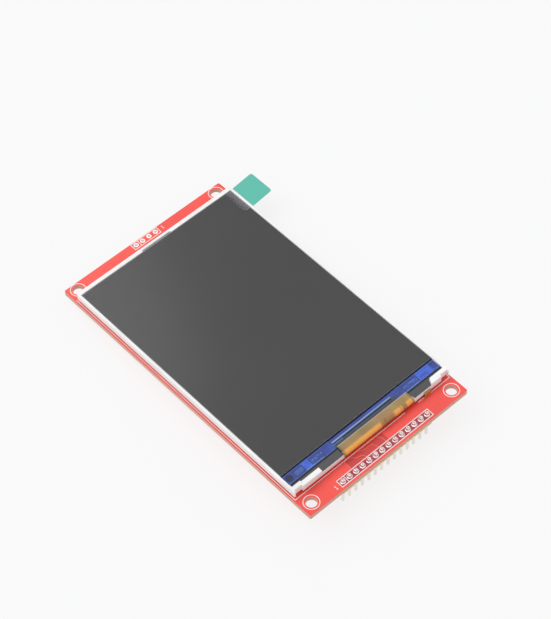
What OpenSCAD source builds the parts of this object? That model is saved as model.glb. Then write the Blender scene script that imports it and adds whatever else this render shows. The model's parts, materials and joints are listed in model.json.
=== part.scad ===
// TFT display module: a circuit board with a bonded liquid crystal panel, its backlight and its connectors.
// Origin: centre of the four mounting holes, on the front face of the board. +Z points out of the screen,
// +Y points away from the 14-pin header, +X to the right as the screen is read with the header below.

/* [Circuit board] */
// Width of the board
board_w = 61.74; // [61.5:0.01:70]
// Length of the board
board_l = 108.04; // [107:0.01:116]
// Thickness of the board
board_t = 1.6; // [1.0:0.1:2.0]
// Radius of the board's corners
board_corner_r = 0.5; // [0.2:0.1:2]

/* [Mounting holes] */
// Diameter of the four mounting holes
hole_d = 3.5; // [2.5:0.1:3.8]
// Distance between the holes across the board
hole_span_x = 55.0; // [53:0.1:56]
// Distance between the holes along the board
hole_span_y = 102.3; // [101:0.1:102.6]
// Distance from the header end of the board to the nearer holes
hole_end = 3.22; // [2.9:0.01:3.6]

/* [Pin header] */
// Number of pins in the header
pin_count = 14; // [4:1:14]
// Distance between neighbouring pins
pin_pitch = 2.54; // [2.4:0.01:2.7]
// Distance from the end of the board to the row of pins
header_inset = 2.12; // [1.5:0.01:3]
// Width of a square pin
pin_w = 0.64; // [0.5:0.01:0.68]
// Length of the taper at each end of a pin
pin_taper = 0.35; // [0.1:0.05:0.6]
// Length of a pin below the plastic
pin_reach = 6.0; // [4:0.1:12]
// Length of a pin above the plastic, through the board
pin_stub = 3.0; // [2.8:0.1:3.6]
// Height of the plastic strip
header_h = 2.54; // [1.5:0.01:4]
// Depth of the plastic strip, across the row
header_depth = 2.5; // [2:0.05:2.9]
// Size of the corner cut between neighbouring pins
header_notch = 0.45; // [0.2:0.05:0.7]
// Diameter of the drilled hole for a pin
pin_drill = 1.0; // [0.98:0.01:1.1]
// Diameter of a solder joint where it meets the board
joint_d = 1.7; // [1.4:0.05:2.1]
// Height of a solder joint
joint_h = 0.9; // [0.6:0.05:1.0]

/* [Card header holes] */
// Number of bare header holes at the far end
card_pin_count = 4; // [2:1:8]
// Distance from the far end of the board to the row of bare holes
card_pin_inset = 1.37; // [1.2:0.01:2.2]
// Diameter of a bare header hole
card_drill = 1.0; // [0.8:0.05:1.2]

/* [Display frame] */
// Width of the white frame
lcd_w = 60.6; // [58.6:0.1:61.4]
// Length of the white frame
lcd_l = 95.35; // [90:0.05:97]
// Distance from the header end of the board to the frame
lcd_end = 6.97; // [6.3:0.01:8]
// Radius of the frame's upright corners
frame_corner_r = 0.3; // [0.1:0.05:0.5]
// Width of the rim beside the glass
side_rim = 0.65; // [0.5:0.05:0.9]
// Width of the rim at the far end
far_rim = 1.3; // [0.9:0.05:1.6]
// Thickness of the side wall beside the light guide
side_wall = 1.7; // [1.3:0.05:2.2]
// Thickness of the far wall beyond the light guide
far_wall = 2.45; // [2.1:0.05:3]
// Thickness of the wall in front of the lamps
lamp_wall = 1.9; // [1.6:0.05:2]
// Depth of the roofed bar at the header end
bar_depth = 2.9; // [2.75:0.05:3.2]
// Depth of the corner blocks beside the bar
corner_block = 1.95; // [1.7:0.05:2.3]
// Depth of the longer block on the left
long_block = 1.55; // [1.3:0.05:1.65]
// Width of the left corner block
left_block_w = 3.8; // [3.5:0.1:5]
// Width of both left blocks together
long_block_w = 10.5; // [8:0.1:14]
// Width of the right corner block
right_block_w = 7.1; // [6:0.1:7.3]
// Length of the slanted side of the right block
right_slant = 0.9; // [0.3:0.1:1.4]
// Width of the notch beside each corner at the header end
corner_notch_w = 2.7; // [1.5:0.1:2.9]
// Depth of that notch
corner_notch_d = 0.65; // [0.3:0.05:0.9]
// Thickness of the post left outside that notch
corner_post = 0.5; // [0.4:0.05:0.6]
// Width of the lifting notch in the far rim
pry_notch_w = 11; // [4:0.5:20]
// Depth of the lifting notch
pry_notch_d = 0.5; // [0.2:0.05:0.6]

/* [Backlight sheets] */
// Thickness of the reflector sheet
reflector_t = 0.1; // [0.05:0.01:0.2]
// Margin from the frame's outline to the reflector
reflector_margin = 0.5; // [0.2:0.1:0.9]
// Thickness of the light guide
guide_t = 0.8; // [0.6:0.05:1.0]
// Thickness of the diffuser film
diffuser_t = 0.1; // [0.1:0.01:0.15]
// Thickness of one prism film
prism_t = 0.1; // [0.05:0.01:0.15]
// Thickness of the black rim tape
rim_tape_t = 0.05; // [0.03:0.01:0.1]
// Width that the rim tape covers over the films
rim_tape_w = 1.2; // [0.8:0.1:1.8]
// Clearance between the frame and what lies in it
nest_gap = 0.1; // [0.05:0.01:0.15]

/* [Lamps] */
// Number of lamps along the light guide
lamp_count = 6; // [4:1:8]
// Length of a lamp
lamp_l = 3.8; // [2:0.1:4.2]
// Depth of a lamp, towards the light guide
lamp_d = 1.0; // [0.6:0.05:1.2]
// Overlap of the lamp flex onto the light guide
lamp_flex_lap = 1.0; // [0.5:0.1:1.5]
// Thickness of the lamp flex
lamp_flex_t = 0.1; // [0.06:0.01:0.1]
// Width of the lamp flex's tail
tail_w = 2.5; // [1.5:0.1:3]
// Distance of the tail's middle line from the frame's right side
tail_from_side = 9.05; // [9:0.05:12]
// Radius of the tail's bends
tail_bend_r = 0.4; // [0.25:0.05:0.45]
// Length of the tail under the frame
tail_run = 3.5; // [2:0.1:6]

/* [Panel] */
// Thickness of a polarizer
polarizer_t = 0.13; // [0.1:0.01:0.2]
// Thickness of the array glass
array_t = 0.5; // [0.3:0.05:0.7]
// Thickness of the colour filter glass
filter_t = 0.5; // [0.3:0.05:0.7]
// Length of the array glass's bare ledge
ledge_l = 3.6; // [3.2:0.05:5]
// Margin from the glass's edge to the polarizers
polarizer_margin = 0.15; // [0.05:0.05:0.5]
// Thickness of the black shading tape
shade_t = 0.1; // [0.05:0.01:0.2]
// Clearance round the shading tape
shade_gap = 0.1; // [0.05:0.05:0.2]
// Length of the driver chip
chip_l = 22.8; // [15:0.1:28]
// Width of the driver chip
chip_w = 0.75; // [0.5:0.05:1.2]
// Height of the driver chip
chip_h = 0.3; // [0.2:0.05:0.45]
// Distance from the ledge's edge to the driver chip
chip_from_edge = 1.7; // [1.0:0.05:1.9]

/* [Display flex] */
// Width of the display flex
flex_w = 27; // [15:0.5:28]
// Distance of the flex's middle line from the display's middle, to the right
flex_x = 2.5; // [0:0.1:3]
// Thickness of the flex
flex_t = 0.12; // [0.08:0.01:0.2]
// Length of the flex that is bonded to the ledge
flex_bond = 0.35; // [0.2:0.05:0.8]
// Depth of the recess that the flex bends round
flex_recess = 0.95; // [0.8:0.05:1.2]
// Clearance beside the flex in its recess
flex_side_gap = 0.3; // [0.1:0.05:0.6]
// Clearance between the returning flex and the backlight
flex_return_gap = 0.06; // [0.03:0.01:0.1]
// Length of the flex that runs back level under the display
flex_return = 5; // [3:0.5:10]
// Angle at which the flex drops to the board
flex_drop = 25; // [15:1:40]
// Radius of the flex's bends on the way to the board
flex_drop_r = 1.0; // [0.8:0.1:1.5]
// Length of the flex that is soldered to the board
flex_pads = 4; // [2:0.5:8]

/* [Foam tape] */
// Thickness of the foam tape
foam_t = 1.0; // [0.8:0.05:1.5]
// Width of a strip of foam tape
foam_w = 6; // [3:0.5:10]
// Length of a strip of foam tape
foam_l = 82; // [40:1:85]
// Margin from the frame's side to the tape
foam_margin = 2; // [1:0.1:4]

/* [Cover film] */
// Thickness of the protective film
film_t = 0.07; // [0.04:0.01:0.1]
// Thickness of the pull tab
tab_t = 0.08; // [0.05:0.01:0.15]
// Width of the pull tab
tab_w = 9.5; // [6:0.5:14]
// Distance from the frame's far end to the tab's middle line
tab_from_far = 6.2; // [5:0.1:60]
// Length of the tab that is stuck to the film
tab_stick = 2.5; // [1.5:0.1:5]
// Length of the free end of the tab
tab_free = 7.9; // [4:0.1:15]
// Angle at which the free end lifts
tab_lift = 8; // [0:1:20]
// Radius of the tab's free corners
tab_corner_r = 0.8; // [0.3:0.1:2]
// Radius of the bend where the tab lifts off the rim
tab_bend_r = 1.0; // [0.5:0.1:3]

/* [Card socket] */
// Width of the socket, along the board
socket_w = 28; // [27.6:0.1:30]
// Depth of the socket, across the board
socket_l = 26.5; // [24:0.1:28]
// Height of the socket
socket_h = 2.8; // [2.7:0.05:3.2]
// Distance from the board's long edge to the socket's mouth
socket_inset = 0.6; // [0.2:0.1:1.5]
// Distance from the board's far end to the socket's middle line
socket_from_far = 25.7; // [20:0.1:50]
// Thickness of the socket's metal shell
shell_t = 0.2; // [0.15:0.01:0.25]
// Width of the card slot
slot_w = 24.4; // [24.2:0.05:24.8]
// Thickness of the base's floor
floor_t = 0.4; // [0.3:0.05:0.5]
// Depth of the base's rear wall
rear_wall = 3.5; // [2:0.1:5]
// Distance from the mouth to the base
base_setback = 1.0; // [0.5:0.1:2]
// Length of a solder tab, along the shell's side
lug_l = 2.4; // [1.5:0.1:4]
// Reach of a solder tab beyond the shell's side
lug_reach = 1.2; // [0.8:0.1:2]
// Distance from each end of the shell to its solder tabs
lug_end = 2.2; // [1:0.1:5]
// Depth of the thumb notch in the shell's mouth
thumb_notch_d = 2.5; // [1:0.1:4]
// Width of the thumb notch
thumb_notch_w = 12; // [6:0.5:16]
// Width of the slit round each spring tongue
slit_w = 0.5; // [0.3:0.05:1]
// Width of a spring tongue
tongue_w = 2.4; // [1.5:0.1:4]
// Length of a spring tongue
tongue_l = 8; // [5:0.5:12]
// Distance from the shell's rear to the root of its tongues
tongue_root = 10; // [6:0.5:11]
// Number of spring contacts
contact_count = 9; // [7:1:9]
// Distance between neighbouring contacts
contact_pitch = 2.5; // [2.2:0.05:2.6]
// Width of a contact
contact_w = 0.9; // [0.5:0.05:1.2]
// Thickness of a contact
contact_t = 0.15; // [0.1:0.01:0.2]
// Length of a contact's tail behind the base
contact_tail = 1.2; // [0.8:0.1:2]
// Length of a contact's rising arm
contact_arm = 4.5; // [3:0.1:6]
// Angle of a contact's rising arm
contact_rise = 9; // [6:1:11]
// Clearance round a contact in the base
contact_gap = 0.05; // [0.02:0.01:0.1]
// Diameter of the base's two locating pegs
peg_d = 1.2; // [0.8:0.1:1.6]
// Length of the locating pegs
peg_l = 0.9; // [0.5:0.1:0.95]
// Clearance round a locating peg in the board
peg_gap = 0.05; // [0.02:0.01:0.1]
// Distance between the two locating pegs
peg_span = 20; // [14:0.5:23]

/* [Small parts] */
// Length of a small transistor package's body
package_l = 2.9; // [2.5:0.1:3.2]
// Width of a small transistor package's body
package_w = 1.3; // [1.1:0.1:1.6]
// Height of a small transistor package
package_h = 1.0; // [0.8:0.05:1.2]
// Distance between the two leads on one side
package_pitch = 1.9; // [1.6:0.05:2.1]
// Thickness of a package lead
lead_t = 0.13; // [0.1:0.01:0.18]
// Width of a package lead
lead_w = 0.4; // [0.3:0.05:0.5]
// Length of a resistor or capacitor
chip_part_l = 2.0; // [1.6:0.05:2.4]
// Width of a resistor or capacitor
chip_part_w = 1.25; // [0.8:0.05:1.5]
// Height of a resistor
resistor_h = 0.5; // [0.35:0.05:0.7]
// Height of a capacitor
capacitor_h = 0.9; // [0.6:0.05:1.2]
// Length of each metal end on a resistor or capacitor
end_cap_l = 0.4; // [0.2:0.05:0.6]
// Distance from the header end of the board to the row of small parts
parts_from_end = 14; // [9:0.5:30]

/* [Hidden] */
$fn = 48;
bend_step = 15;                 // degrees of a bend that one facet covers
through = 1;                    // how far a cut runs past the face that it opens

// Places along the board: the two ends of the board, and the two ends of the display frame
end_y = -(hole_span_y / 2 + hole_end);
far_y = end_y + board_l;
lcd_y0 = end_y + lcd_end;
lcd_y1 = lcd_y0 + lcd_l;

// Heights of the layers, from the board's face up to the protective film
reflector_z = foam_t;
frame_z = reflector_z + reflector_t;
guide_z = frame_z;
diffuser_z = guide_z + guide_t;
lower_prism_z = diffuser_z + diffuser_t;
upper_prism_z = lower_prism_z + prism_t;
shelf_z = upper_prism_z + prism_t;
rear_polarizer_z = shelf_z + rim_tape_t;
array_z = rear_polarizer_z + polarizer_t;
ledge_z = array_z + array_t;
front_polarizer_z = ledge_z + filter_t;
film_z = front_polarizer_z + polarizer_t;
rim_z = film_z + film_t;
bar_z = ledge_z - shade_t;
lamp_flex_z = diffuser_z;
pocket_z = lamp_flex_z + lamp_flex_t + nest_gap / 2;

// Outlines of the layers, as half widths and as places along the display
glass_x = lcd_w / 2 - side_rim - nest_gap;
glass_y0 = lcd_y0 + bar_depth + nest_gap;
glass_y1 = lcd_y1 - far_rim - nest_gap;
filter_y0 = glass_y0 + ledge_l;
guide_x = lcd_w / 2 - side_wall - nest_gap;
guide_y0 = lcd_y0 + lamp_wall + lamp_pocket();
guide_y1 = lcd_y1 - far_wall - nest_gap;
sheet_y0 = guide_y0 + lamp_flex_lap + nest_gap;
block_left_x = -lcd_w / 2 + left_block_w;
bar_left_x = -lcd_w / 2 + long_block_w;
bar_right_x = lcd_w / 2 - right_block_w;
tail_x = lcd_w / 2 - tail_from_side;

// The header
header_y = end_y + header_inset;
header_z = -board_t - header_h;
pins = [for (i = [1 : pin_count]) i];
card_pin_y = far_y - card_pin_inset;
joint_neck = pin_w / sqrt(2) + 0.06;

// The card socket, in its own frame: origin at the middle of its mouth, +X out of the mouth, +Z off the board
socket_x = board_w / 2 - socket_inset;
socket_y = far_y - socket_from_far;
contact_crest_r = 2;
notch_r = (pow(thumb_notch_w / 2, 2) + pow(thumb_notch_d, 2)) / (2 * thumb_notch_d);

// Depth of the pocket that holds the lamps, from its front wall to the light guide
function lamp_pocket() = lamp_d + 2 * nest_gap;

// Place of item i in a centred row of n items
function row(i, n, pitch) = (i - (n + 1) / 2) * pitch;

// ---------- helpers ----------

// A block between two opposite corners
module block(a, b) {
    translate(a) cube(b - a);
}

// A flat sheet, centred across the display
module sheet(half_w, y0, y1, z, t) {
    block([-half_w, y0, z], [half_w, y1, z + t]);
}

// A rectangle with round corners, centred on the origin
module rounded(w, l, r) {
    for (x = [-1, 1], y = [-1, 1])
        translate([x * (w / 2 - r), y * (l / 2 - r)]) circle(r);
    square([w - 2 * r, l], center = true);
    square([w, l - 2 * r], center = true);
}

// The middle line of a bent strip. Each step is [straight length, angle to turn, radius of the turn].
function bend_at(p, a, turn, r, f) =
    let (s = sign(turn), c = p + s * r * [-sin(a), cos(a)], b = a + turn * f)
    [c + s * r * [sin(b), -cos(b)], b];
function walk(steps, p, a, i = 0) =
    i == len(steps) ? [] :
    let (
        q = p + steps[i][0] * [cos(a), sin(a)],
        turn = steps[i][1],
        n = ceil(abs(turn) / bend_step),
        arc = [for (k = [1 : 1 : n]) bend_at(q, a, turn, steps[i][2], k / n)],
        last = n > 0 ? arc[n - 1] : [q, a])
    concat(steps[i][0] > 0 ? [[q, a]] : [], arc, walk(steps, last[0], last[1], i + 1));

// The section of a bent strip of thickness t, from a start point and a first heading
module strip(steps, t, start, heading = 0) {
    line = concat([[start, heading]], walk(steps, start, heading));
    function side(s) = [for (q = line) q[0] + s * t / 2 * [-sin(q[1]), cos(q[1])]];
    left = side(1);
    right = side(-1);
    polygon(concat(left, [for (i = [len(right) - 1 : -1 : 0]) right[i]]));
}

// Stands a section drawn as (y, z) up across the display, w wide about x = 0
module across(w) {
    translate([w / 2, 0, 0]) rotate([90, 0, -90]) mirror([1, 0, 0]) linear_extrude(w) children();
}

// Stands a section drawn as (x, z) up along the display, w wide about y = 0
module along(w) {
    translate([0, w / 2, 0]) rotate([90, 0, 0]) linear_extrude(w) children();
}

// Puts a part that is drawn standing on its solder side onto the back of the board
module on_back(x, y, turn = 0) {
    translate([x, y, -board_t]) rotate([180, 0, 0]) rotate([0, 0, turn]) children();
}

module in_socket() {
    on_back(socket_x, socket_y) children();
}

// ---------- circuit board ----------

module pcb() {
    color([0.93, 0.25, 0.2]) difference() {
        translate([0, end_y + board_l / 2, -board_t])
            linear_extrude(board_t) rounded(board_w, board_l, board_corner_r);
        for (x = [-1, 1], y = [-1, 1])
            translate([x * hole_span_x / 2, y * hole_span_y / 2, 0]) drill(hole_d);
        for (i = pins)
            translate([row(i, pin_count, pin_pitch), header_y, 0]) drill(pin_drill);
        for (i = [1 : card_pin_count])
            translate([row(i, card_pin_count, pin_pitch), card_pin_y, 0]) drill(card_drill);
        for (s = [-1, 1])
            translate([socket_x - base_setback - peg_d, socket_y + s * peg_span / 2, 0])
                drill(peg_d + 2 * peg_gap);
    }
}

module drill(d) {
    translate([0, 0, -board_t - through]) cylinder(d = d, h = board_t + 2 * through);
}

// ---------- pin header ----------

// One strip of plastic: a cell with cut corners round each pin
module header_body() {
    half = pin_pitch / 2;
    deep = header_depth / 2;
    color([0.95, 0.8, 0.25]) difference() {
        for (i = pins)
            translate([row(i, pin_count, pin_pitch), header_y, header_z])
                linear_extrude(header_h)
                    polygon([[-half, deep - header_notch], [-half + header_notch, deep],
                             [half - header_notch, deep], [half, deep - header_notch],
                             [half, header_notch - deep], [half - header_notch, -deep],
                             [-half + header_notch, -deep], [-half, header_notch - deep]]);
        for (i = pins)
            translate([row(i, pin_count, pin_pitch) - pin_w / 2, header_y - pin_w / 2, header_z - through])
                cube([pin_w, pin_w, header_h + 2 * through]);
    }
}

// A square pin, tapered at both ends
module header_pin(i) {
    color([0.85, 0.8, 0.65]) translate([row(i, pin_count, pin_pitch), header_y, 0]) intersection() {
        along(2 * pin_w) pin_side();
        across(2 * pin_w) pin_side();
    }
}

module pin_side() {
    z0 = header_z - pin_reach;
    z1 = -board_t + pin_stub;
    tip = pin_w / 4;
    polygon([[-tip, z0], [tip, z0], [pin_w / 2, z0 + pin_taper], [pin_w / 2, z1 - pin_taper],
             [tip, z1], [-tip, z1], [-pin_w / 2, z1 - pin_taper], [-pin_w / 2, z0 + pin_taper]]);
}

// One solder joint: a hollow-sided cone that wets the pad and the pin
module solder_joint() {
    r = joint_d / 2;
    flare = min(r - joint_neck, joint_h * 0.8);
    foot = 0.04;
    difference() {
        rotate_extrude() difference() {
            square([r, joint_h]);
            translate([joint_neck + flare, foot + flare]) circle(flare);
            translate([joint_neck, foot + flare]) square([r, joint_h]);
        }
        translate([-pin_w / 2, -pin_w / 2, -through]) cube([pin_w, pin_w, joint_h + 2 * through]);
    }
}

module header_solder() {
    color([0.85, 0.85, 0.87]) for (i = pins)
        translate([row(i, pin_count, pin_pitch), header_y, 0]) solder_joint();
}

// ---------- display: foam, frame and backlight ----------

module foam_tape(side) {
    mid = (lcd_y0 + lcd_y1) / 2;
    x = side * (lcd_w / 2 - foam_margin - foam_w / 2);
    color([0.9, 0.9, 0.88])
        block([x - foam_w / 2, mid - foam_l / 2, 0], [x + foam_w / 2, mid + foam_l / 2, foam_t]);
}

// The moulded frame: an outer wall, a shelf for the glass, a lower well for the light guide, and a bar at the
// header end that roofs over the lamps, is cut away where the flex bends round it, and rises into end blocks
module backlight_frame() {
    color([0.96, 0.96, 0.95]) difference() {
        translate([0, (lcd_y0 + lcd_y1) / 2, frame_z])
            linear_extrude(rim_z - frame_z) rounded(lcd_w, lcd_l, frame_corner_r);
        // well for the light guide and the films, with the lamp pocket at its end
        block([-guide_x - nest_gap, lcd_y0 + bar_depth, frame_z - through],
              [guide_x + nest_gap, guide_y1 + nest_gap, rim_z + through]);
        block([-guide_x - nest_gap, lcd_y0 + lamp_wall, frame_z - through],
              [guide_x + nest_gap, guide_y0 + through, pocket_z]);
        // upper well for the glass
        block([-glass_x - nest_gap, glass_y0 - nest_gap, shelf_z],
              [glass_x + nest_gap, glass_y1 + nest_gap, rim_z + through]);
        block([-pry_notch_w / 2, glass_y1, shelf_z],
              [pry_notch_w / 2, glass_y1 + nest_gap + pry_notch_d, rim_z + through]);
        // the top of the bar between the end blocks
        translate([0, 0, bar_z]) linear_extrude(rim_z - bar_z + through) bar_outline(0);
        // the recess for the flex
        block([flex_x - flex_w / 2 - flex_side_gap, lcd_y0 - through, frame_z - through],
              [flex_x + flex_w / 2 + flex_side_gap, lcd_y0 + flex_recess, rim_z + through]);
        // the slot for the lamp flex's tail
        block([tail_x - tail_w / 2 - nest_gap, lcd_y0 - through, lamp_flex_z - nest_gap / 2],
              [tail_x + tail_w / 2 + nest_gap, lcd_y0 + lamp_wall + through, pocket_z]);
        for (s = [-1, 1])
            translate([s * (lcd_w / 2 - corner_post - corner_notch_w / 2), lcd_y0, 0])
                block([-corner_notch_w / 2, -through, frame_z - through],
                      [corner_notch_w / 2, corner_notch_d, rim_z + through]);
    }
}

// Outline of the low part of the bar, shrunk by a gap: it steps in beside the left blocks and slants
// beside the right one
module bar_outline(gap) {
    y1 = lcd_y0 + bar_depth;
    corner_y = lcd_y0 + corner_block + gap;
    long_y = lcd_y0 + long_block + gap;
    front_y = lcd_y0 - (gap > 0 ? -gap : through);
    polygon([[-glass_x, y1], [-glass_x, corner_y], [block_left_x + gap, corner_y], [block_left_x + gap, long_y],
             [bar_left_x + gap, long_y], [bar_left_x + gap, front_y], [bar_right_x - gap, front_y],
             [bar_right_x - gap, lcd_y0 + gap + corner_block - right_slant * 2],
             [bar_right_x - gap + right_slant, corner_y], [glass_x, corner_y], [glass_x, y1]]);
}

module reflector_sheet() {
    color([0.92, 0.93, 0.95])
        sheet(lcd_w / 2 - reflector_margin, lcd_y0 + flex_recess + reflector_margin,
              lcd_y1 - reflector_margin, reflector_z, reflector_t);
}

module light_guide() {
    color([0.85, 0.92, 0.95]) sheet(guide_x, guide_y0, guide_y1, guide_z, guide_t);
}

module film(z, t, tint) {
    color(tint) sheet(guide_x, sheet_y0, guide_y1, z, t);
}

module rim_tape() {
    inner_x = guide_x - rim_tape_w;
    color([0.1, 0.1, 0.1]) difference() {
        sheet(glass_x, glass_y0, glass_y1, shelf_z, rim_tape_t);
        sheet(inner_x, sheet_y0 + rim_tape_w, guide_y1 - rim_tape_w, shelf_z - through, rim_tape_t + 2 * through);
    }
}

// The lamp flex: a strip over the lamps, and a tail that leaves through the wall and turns down and back
module lamp_flex() {
    drop = lamp_flex_z - 2 * tail_bend_r;
    color([0.85, 0.6, 0.25]) {
        sheet(guide_x, lcd_y0 + lamp_wall + nest_gap, guide_y0 + lamp_flex_lap, lamp_flex_z, lamp_flex_t);
        translate([tail_x, 0, 0]) across(tail_w)
            strip([[lamp_wall + 2 * nest_gap, 90, tail_bend_r], [drop, 90, tail_bend_r], [tail_run, 0, 0]],
                  lamp_flex_t, [lcd_y0 + lamp_wall + nest_gap * 2, lamp_flex_z + lamp_flex_t / 2], 180);
    }
}

module lamp(i) {
    x = row(i, lamp_count, 2 * guide_x / lamp_count);
    color([0.98, 0.95, 0.75])
        block([x - lamp_l / 2, guide_y0 - lamp_d, frame_z], [x + lamp_l / 2, guide_y0, lamp_flex_z]);
}

module shading_tape() {
    color([0.2, 0.2, 0.21]) translate([0, 0, bar_z]) linear_extrude(shade_t) difference() {
        bar_outline(shade_gap);
        translate([flex_x - flex_w / 2 - flex_side_gap - shade_gap, lcd_y0 - through])
            square([flex_w + 2 * (flex_side_gap + shade_gap), through + flex_recess + shade_gap]);
    }
}

// ---------- display: panel ----------

module polarizer(y0, z, tint) {
    color(tint) sheet(glass_x - polarizer_margin, y0 + polarizer_margin, glass_y1 - polarizer_margin,
                      z, polarizer_t);
}

module array_glass() {
    color([0.25, 0.35, 0.75]) sheet(glass_x, glass_y0, glass_y1, array_z, array_t);
}

module color_filter_glass() {
    color([0.2, 0.22, 0.3]) sheet(glass_x, filter_y0, glass_y1, ledge_z, filter_t);
}

module driver_chip() {
    y0 = glass_y0 + chip_from_edge;
    color([0.6, 0.65, 0.8]) sheet(chip_l / 2, y0, y0 + chip_w, ledge_z, chip_h);
}

// The display flex: bonded to the ledge, over the bar, round its front in a half turn, level back under the
// backlight, then down onto the board
module display_flex() {
    top = ledge_z + flex_t / 2;
    under = reflector_z - flex_return_gap - flex_t / 2;
    half_turn_r = (top - under) / 2;
    fall = under - flex_t / 2;
    ramp = (fall - 2 * flex_drop_r * (1 - cos(flex_drop))) / sin(flex_drop);
    color([0.85, 0.6, 0.3]) translate([flex_x, 0, 0]) across(flex_w)
        strip([[glass_y0 + flex_bond - lcd_y0 - flex_recess, 180, half_turn_r],
               [flex_return, -flex_drop, flex_drop_r], [ramp, flex_drop, flex_drop_r], [flex_pads, 0, 0]],
              flex_t, [glass_y0 + flex_bond, top], 180);
}

module protective_film() {
    color([0.75, 0.78, 0.8, 0.4])
        sheet(glass_x - polarizer_margin, filter_y0 + polarizer_margin, glass_y1 - polarizer_margin, film_z, film_t);
}

// The pull tab: stuck to the film's edge, over the rim, and free beyond it
module pull_tab() {
    x0 = glass_x - polarizer_margin - tab_stick;
    flat = lcd_w / 2 - x0;
    reach = flat + tab_free;
    color([0.3, 0.75, 0.65]) translate([x0, lcd_y1 - tab_from_far, 0]) intersection() {
        along(tab_w) strip([[flat, tab_lift, tab_bend_r], [tab_free, 0, 0]], tab_t, [0, rim_z + tab_t / 2]);
        translate([reach / 2, 0, 0]) linear_extrude(rim_z + reach) rounded(reach, tab_w, tab_corner_r);
    }
}

// ---------- card socket, drawn in its own frame ----------

// The moulded base: a channel section with a slot under each contact, a rear wall and two pegs
module card_socket_base() {
    back = -socket_l;
    color([0.12, 0.12, 0.13]) in_socket() difference() {
        union() {
            translate([(back - base_setback) / 2, 0, 0]) across(-base_setback - back) difference() {
                base_outline();
                translate([-slot_w / 2, floor_t]) square([slot_w, socket_h]);
            }
            translate([back + rear_wall / 2, 0, 0]) across(rear_wall) base_outline();
            for (s = [-1, 1])
                translate([-base_setback - peg_d, s * peg_span / 2, -peg_l])
                    cylinder(d = peg_d, h = peg_l + floor_t / 2);
        }
        for (i = [1 : contact_count]) translate([0, row(i, contact_count, contact_pitch), 0]) {
            block([back - through, -contact_w / 2 - contact_gap, -through],
                  [back + rear_wall + through, contact_w / 2 + contact_gap, contact_t + contact_gap]);
            block([back + rear_wall, -contact_w / 2 - contact_gap, -through],
                  [contact_end() + contact_gap, contact_w / 2 + contact_gap, floor_t + through / 4]);
        }
    }
}

// Outline of the base across the slot, with its upper outside corners cut to clear the shell's bends
module base_outline() {
    side = socket_w / 2 - shell_t;
    top = socket_h - shell_t;
    cut = 0.6 * shell_t;
    polygon([[-side, 0], [side, 0], [side, top - cut], [side - cut, top], [cut - side, top], [-side, top - cut]]);
}

// Where the tip of a contact lies
function contact_end() = -socket_l + rear_wall + contact_arm * cos(contact_rise) * 1.5
    + 3 * contact_crest_r * sin(contact_rise) + contact_t;

// A spring contact: a flat tail, a rising arm, a rounded crest and a short falling tip
module card_contact(i) {
    color([0.9, 0.75, 0.4]) in_socket() translate([0, row(i, contact_count, contact_pitch), 0]) along(contact_w)
        strip([[contact_tail + rear_wall, contact_rise, contact_crest_r],
               [contact_arm, -2 * contact_rise, contact_crest_r], [contact_arm / 2, 0, 0]],
              contact_t, [-socket_l - contact_tail, contact_t / 2]);
}

// The folded shell: a roof with two spring tongues, two side walls and four solder tabs
module card_socket_shell() {
    bend_r = shell_t;
    wall_y = socket_w / 2 - shell_t / 2;
    top_z = socket_h - shell_t / 2;
    foot_z = floor_t;
    color([0.8, 0.8, 0.82]) in_socket() difference() {
        union() {
            translate([-socket_l / 2, 0, 0]) across(socket_l) {
                strip([[top_z - bend_r - foot_z, -90, bend_r], [2 * (wall_y - bend_r), -90, bend_r],
                       [top_z - bend_r - foot_z, 0, 0]], shell_t, [-wall_y, foot_z], 90);
            }
            for (s = [-1, 1], x = [-lug_end - lug_l / 2, -socket_l + lug_end + lug_l / 2])
                translate([x, 0, 0]) across(lug_l) flipped(s > 0)
                    strip([[lug_reach - bend_r, 90, bend_r], [foot_z + shell_t, 0, 0]], shell_t,
                          [-wall_y - lug_reach, shell_t / 2]);
        }
        for (s = [-1, 1]) translate([tongue_root - socket_l, s * slot_w / 4, 0]) tongue_slit();
        translate([notch_r - thumb_notch_d, 0, socket_h / 2]) cylinder(r = notch_r, h = socket_h);
    }
}

module flipped(yes) {
    if (yes) mirror([1, 0]) children();
    else children();
}

// A U-shaped slit that frees a spring tongue from the roof
module tongue_slit() {
    half = tongue_w / 2 + slit_w / 2;
    translate([0, 0, socket_h - shell_t - through / 2]) linear_extrude(shell_t + through) {
        for (s = [-1, 1]) {
            translate([0, s * half - slit_w / 2]) square([tongue_l, slit_w]);
            translate([0, s * half]) circle(d = slit_w);
        }
        translate([tongue_l, -half - slit_w / 2]) square([slit_w, tongue_w + 2 * slit_w]);
    }
}

// ---------- small parts, drawn standing on the board ----------

// A three-lead package: two leads on one side, one on the other
module small_package() {
    stand = 0.05;
    lead_z = package_h / 2;
    foot = 0.45;
    drop = lead_z - lead_t / 2 - 2 * lead_t;
    union() {
        along(package_l) polygon([[-package_w / 2 + 0.1, stand], [package_w / 2 - 0.1, stand],
                                  [package_w / 2, lead_z], [package_w / 2 - 0.15, package_h],
                                  [-package_w / 2 + 0.15, package_h], [-package_w / 2, lead_z]]);
        for (y = [-package_pitch / 2, package_pitch / 2]) translate([0, y, 0]) gull_lead(lead_z, drop, foot);
        rotate([0, 0, 180]) gull_lead(lead_z, drop, foot);
    }
}

module gull_lead(z, drop, foot) {
    along(lead_w) strip([[package_w / 2 + 0.05, -90, lead_t], [drop, 90, lead_t], [foot, 0, 0]],
                        lead_t, [0, z]);
}

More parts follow.
